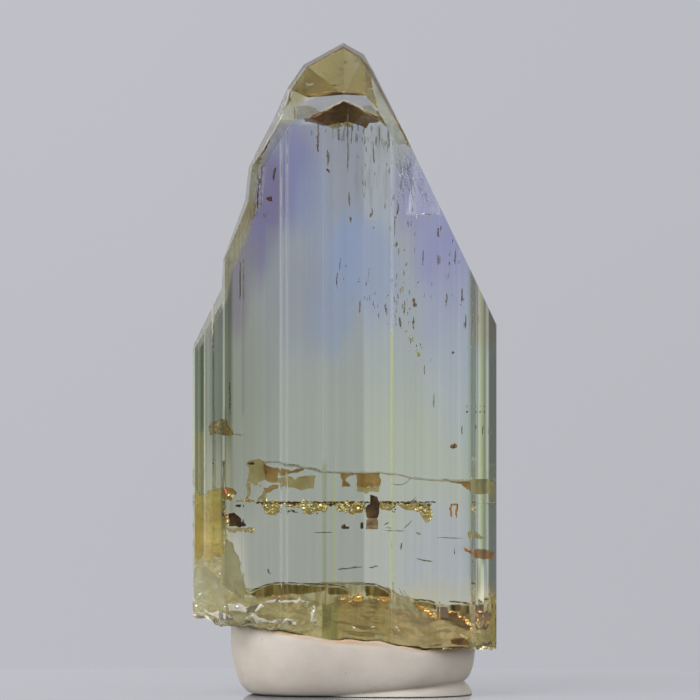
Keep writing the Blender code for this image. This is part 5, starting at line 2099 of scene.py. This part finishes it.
def golden_row(looks):
    """Amber films with gold and dark grains, in a row across the lower third."""
    at_row = flat(ROW_DEPTH)
    amber = films(ROW_FILMS, 0.08, 9.0, ragged=0.09, relief=0.10)
    group("row_amber", looks["amber_film"], amber)
    group("row_gold", looks["gold_glint"], scattered(GOLD_RUNS, at_row, 12))
    group("row_dark", looks["graphite_and_edge_shade"], scattered(DARK_RUNS, at_row, 13), row_lip)


def base_masses(looks):
    """The larger stained and cloudy masses over the broken base, with pale sheets of painted reflection
    among them.
    """
    for name, look, outlines, depth, seed, form in MASSES:
        group(name, looks[look], plates(outlines, depth, seed, **form), even=True)
    group("band_dark", looks["iron_barred"], films(BAND_FILMS, 0.06, 27.0))


def lines_and_shards(looks, back):
    """The arch's bright line, the painted shade along the base's far edge, and what lies along and on the
    broken base.
    """
    on_arch = lines(ARCH_LINES, lambda x, z: back(x, z) - ARCH_LINE_LIFT, 23)
    crust = plates(
        [CRUST_RIGHT], behind_front(0.12), 25.0, thick=0.30, ragged=0.10, holes=0.10, relief=0.10
    )
    group("arch_line", looks["orange_glint"], on_arch)
    group("crust_right", looks["iron_column"], crust, even=True)
    blocks = plates(BROWN_BLOCKS, on_base(0.40), 41.0, thick=0.08, ragged=0.04)
    shards = plates(GREEN_SHARDS, on_base(0.40), 51.0, thick=0.08, ragged=0.04)
    group("blocks_umber", looks["iron_umber"], blocks)
    group("shards_green", looks["shard_green"], shards)
    # Dark sticks that paint the shade along the base's far edge
    group("edge_shade_line", looks["graphite_and_edge_shade"], lines(EDGE_SHADE_LINES, on_base(0.30), 15))
    group("fan_base", looks["fan_grey"], lines(FAN_LINES, on_base(0.40), 16))


def glints(looks):
    """Small shining grains on the base and just behind the front."""
    near_skin = behind_front(0.06)
    group("base_glints", looks["orange_glint"], scattered(BASE_GLINTS, on_base(0.45), 14))
    group("yellow_glints", looks["gold_glint"], scattered(YELLOW_GLINTS, behind_front(0.25), 17))
    group("amber_glints", looks["gold_glint"], scattered(AMBER_GLINTS, near_skin, 18))
    group("red_glints", looks["red_glint"], scattered(RED_GLINTS, near_skin, 19))
    group("white_glints", looks["white_glint"], scattered(WHITE_GLINTS, behind_front(0.08), 20))


def make_inclusions(crystal):
    """Everything inside the clear crystal."""
    looks = {
        name: mottled(name, scale, tones, **unlike)
        for name, (scale, tones, unlike) in LOOKS.items()
    }
    graph = bpy.context.evaluated_depsgraph_get()
    back = back_skin(BVHTree.FromObject(crystal, graph))
    upper_inclusions(looks, back)
    cracks()
    stained_films(looks)
    golden_row(looks)
    base_masses(looks)
    lines_and_shards(looks, back)
    glints(looks)
    make_rind()


# Studio

def make_floor():
    bm = bmesh.new()
    bmesh.ops.create_circle(bm, cap_ends=True, radius=FLOOR_RADIUS, segments=FLOOR_SIDES)
    bmesh.ops.translate(bm, vec=FLOOR_SHIFT, verts=bm.verts)
    floor = new_object("table", bm, False)
    floor.data.materials.append(table_material())


def make_world():
    """Soft grey surroundings with a window at the upper left."""
    world = bpy.data.worlds.new("studio")
    bpy.context.scene.world = world
    n = Nodes(world, "Background")
    way = n.add("TexCoord").outputs["Generated"]
    split = n.add("SeparateXYZ")
    n.join(way, split.inputs[0])
    n.dial("Color", n.ramp(n.math("ABSOLUTE", split.outputs["X"]), AROUND))
    level = 1.0
    for axis, low, high, to_low, to_high in LEVELS:
        level = n.times(level, n.step(split.outputs[axis], low, high, to_low, to_high))
    aim = n.add("VectorMath", operation="DOT_PRODUCT")
    n.join(way, aim.inputs[0])
    aim.inputs[1].default_value = Vector(WINDOW_SIDE).normalized()
    window = n.step(aim.outputs["Value"], *WINDOW_EDGE, 0.0, WINDOW_LEVEL)
    n.dial("Strength", n.math("ADD", level, window))


def soft_lamp(name, place, size, power, shows):
    light = bpy.data.lights.new(name, "AREA")
    light.size = size
    light.energy = power
    item = link(name, light)
    item.location = place
    aim = Vector(LAMP_TARGET) - Vector(place)
    item.rotation_euler = aim.to_track_quat("-Z", "Y").to_euler()
    item.visible_glossy = shows
    item.visible_transmission = shows


def make_camera():
    camera = bpy.data.cameras.new("camera")
    item = link("camera", camera)
    x, z = spot(0.5 * FRAME_PIXELS, 0.5 * FRAME_PIXELS)
    target = Vector((x, 0.0, z)) * MM
    rise = math.radians(CAMERA_RISE_DEG)
    item.location = target + Vector((0.0, -math.cos(rise), math.sin(rise))) * CAMERA_DISTANCE
    item.rotation_euler = (target - item.location).to_track_quat("-Z", "Y").to_euler()
    camera.sensor_width = SENSOR
    camera.lens = SENSOR * CAMERA_DISTANCE / (FRAME_PIXELS * PIXEL * MM)
    camera.clip_start, camera.clip_end = CAMERA_CLIP
    bpy.context.scene.camera = item


def set_up_scene():
    scene = bpy.context.scene
    scene.view_settings.view_transform = "Standard"
    scene.cycles.max_bounces = BOUNCES
    scene.cycles.transmission_bounces = BOUNCES
    scene.cycles.glossy_bounces = GLOSSY_BOUNCES
    scene.cycles.sample_clamp_indirect = INDIRECT_CLAMP


noise.seed_set(NOISE_SEED)
set_up_scene()
crystal = make_crystal(tanzanite())
make_pad(putty())
make_inclusions(crystal)
make_floor()
make_world()
for lamp in LAMPS:
    soft_lamp(*lamp)
make_camera()
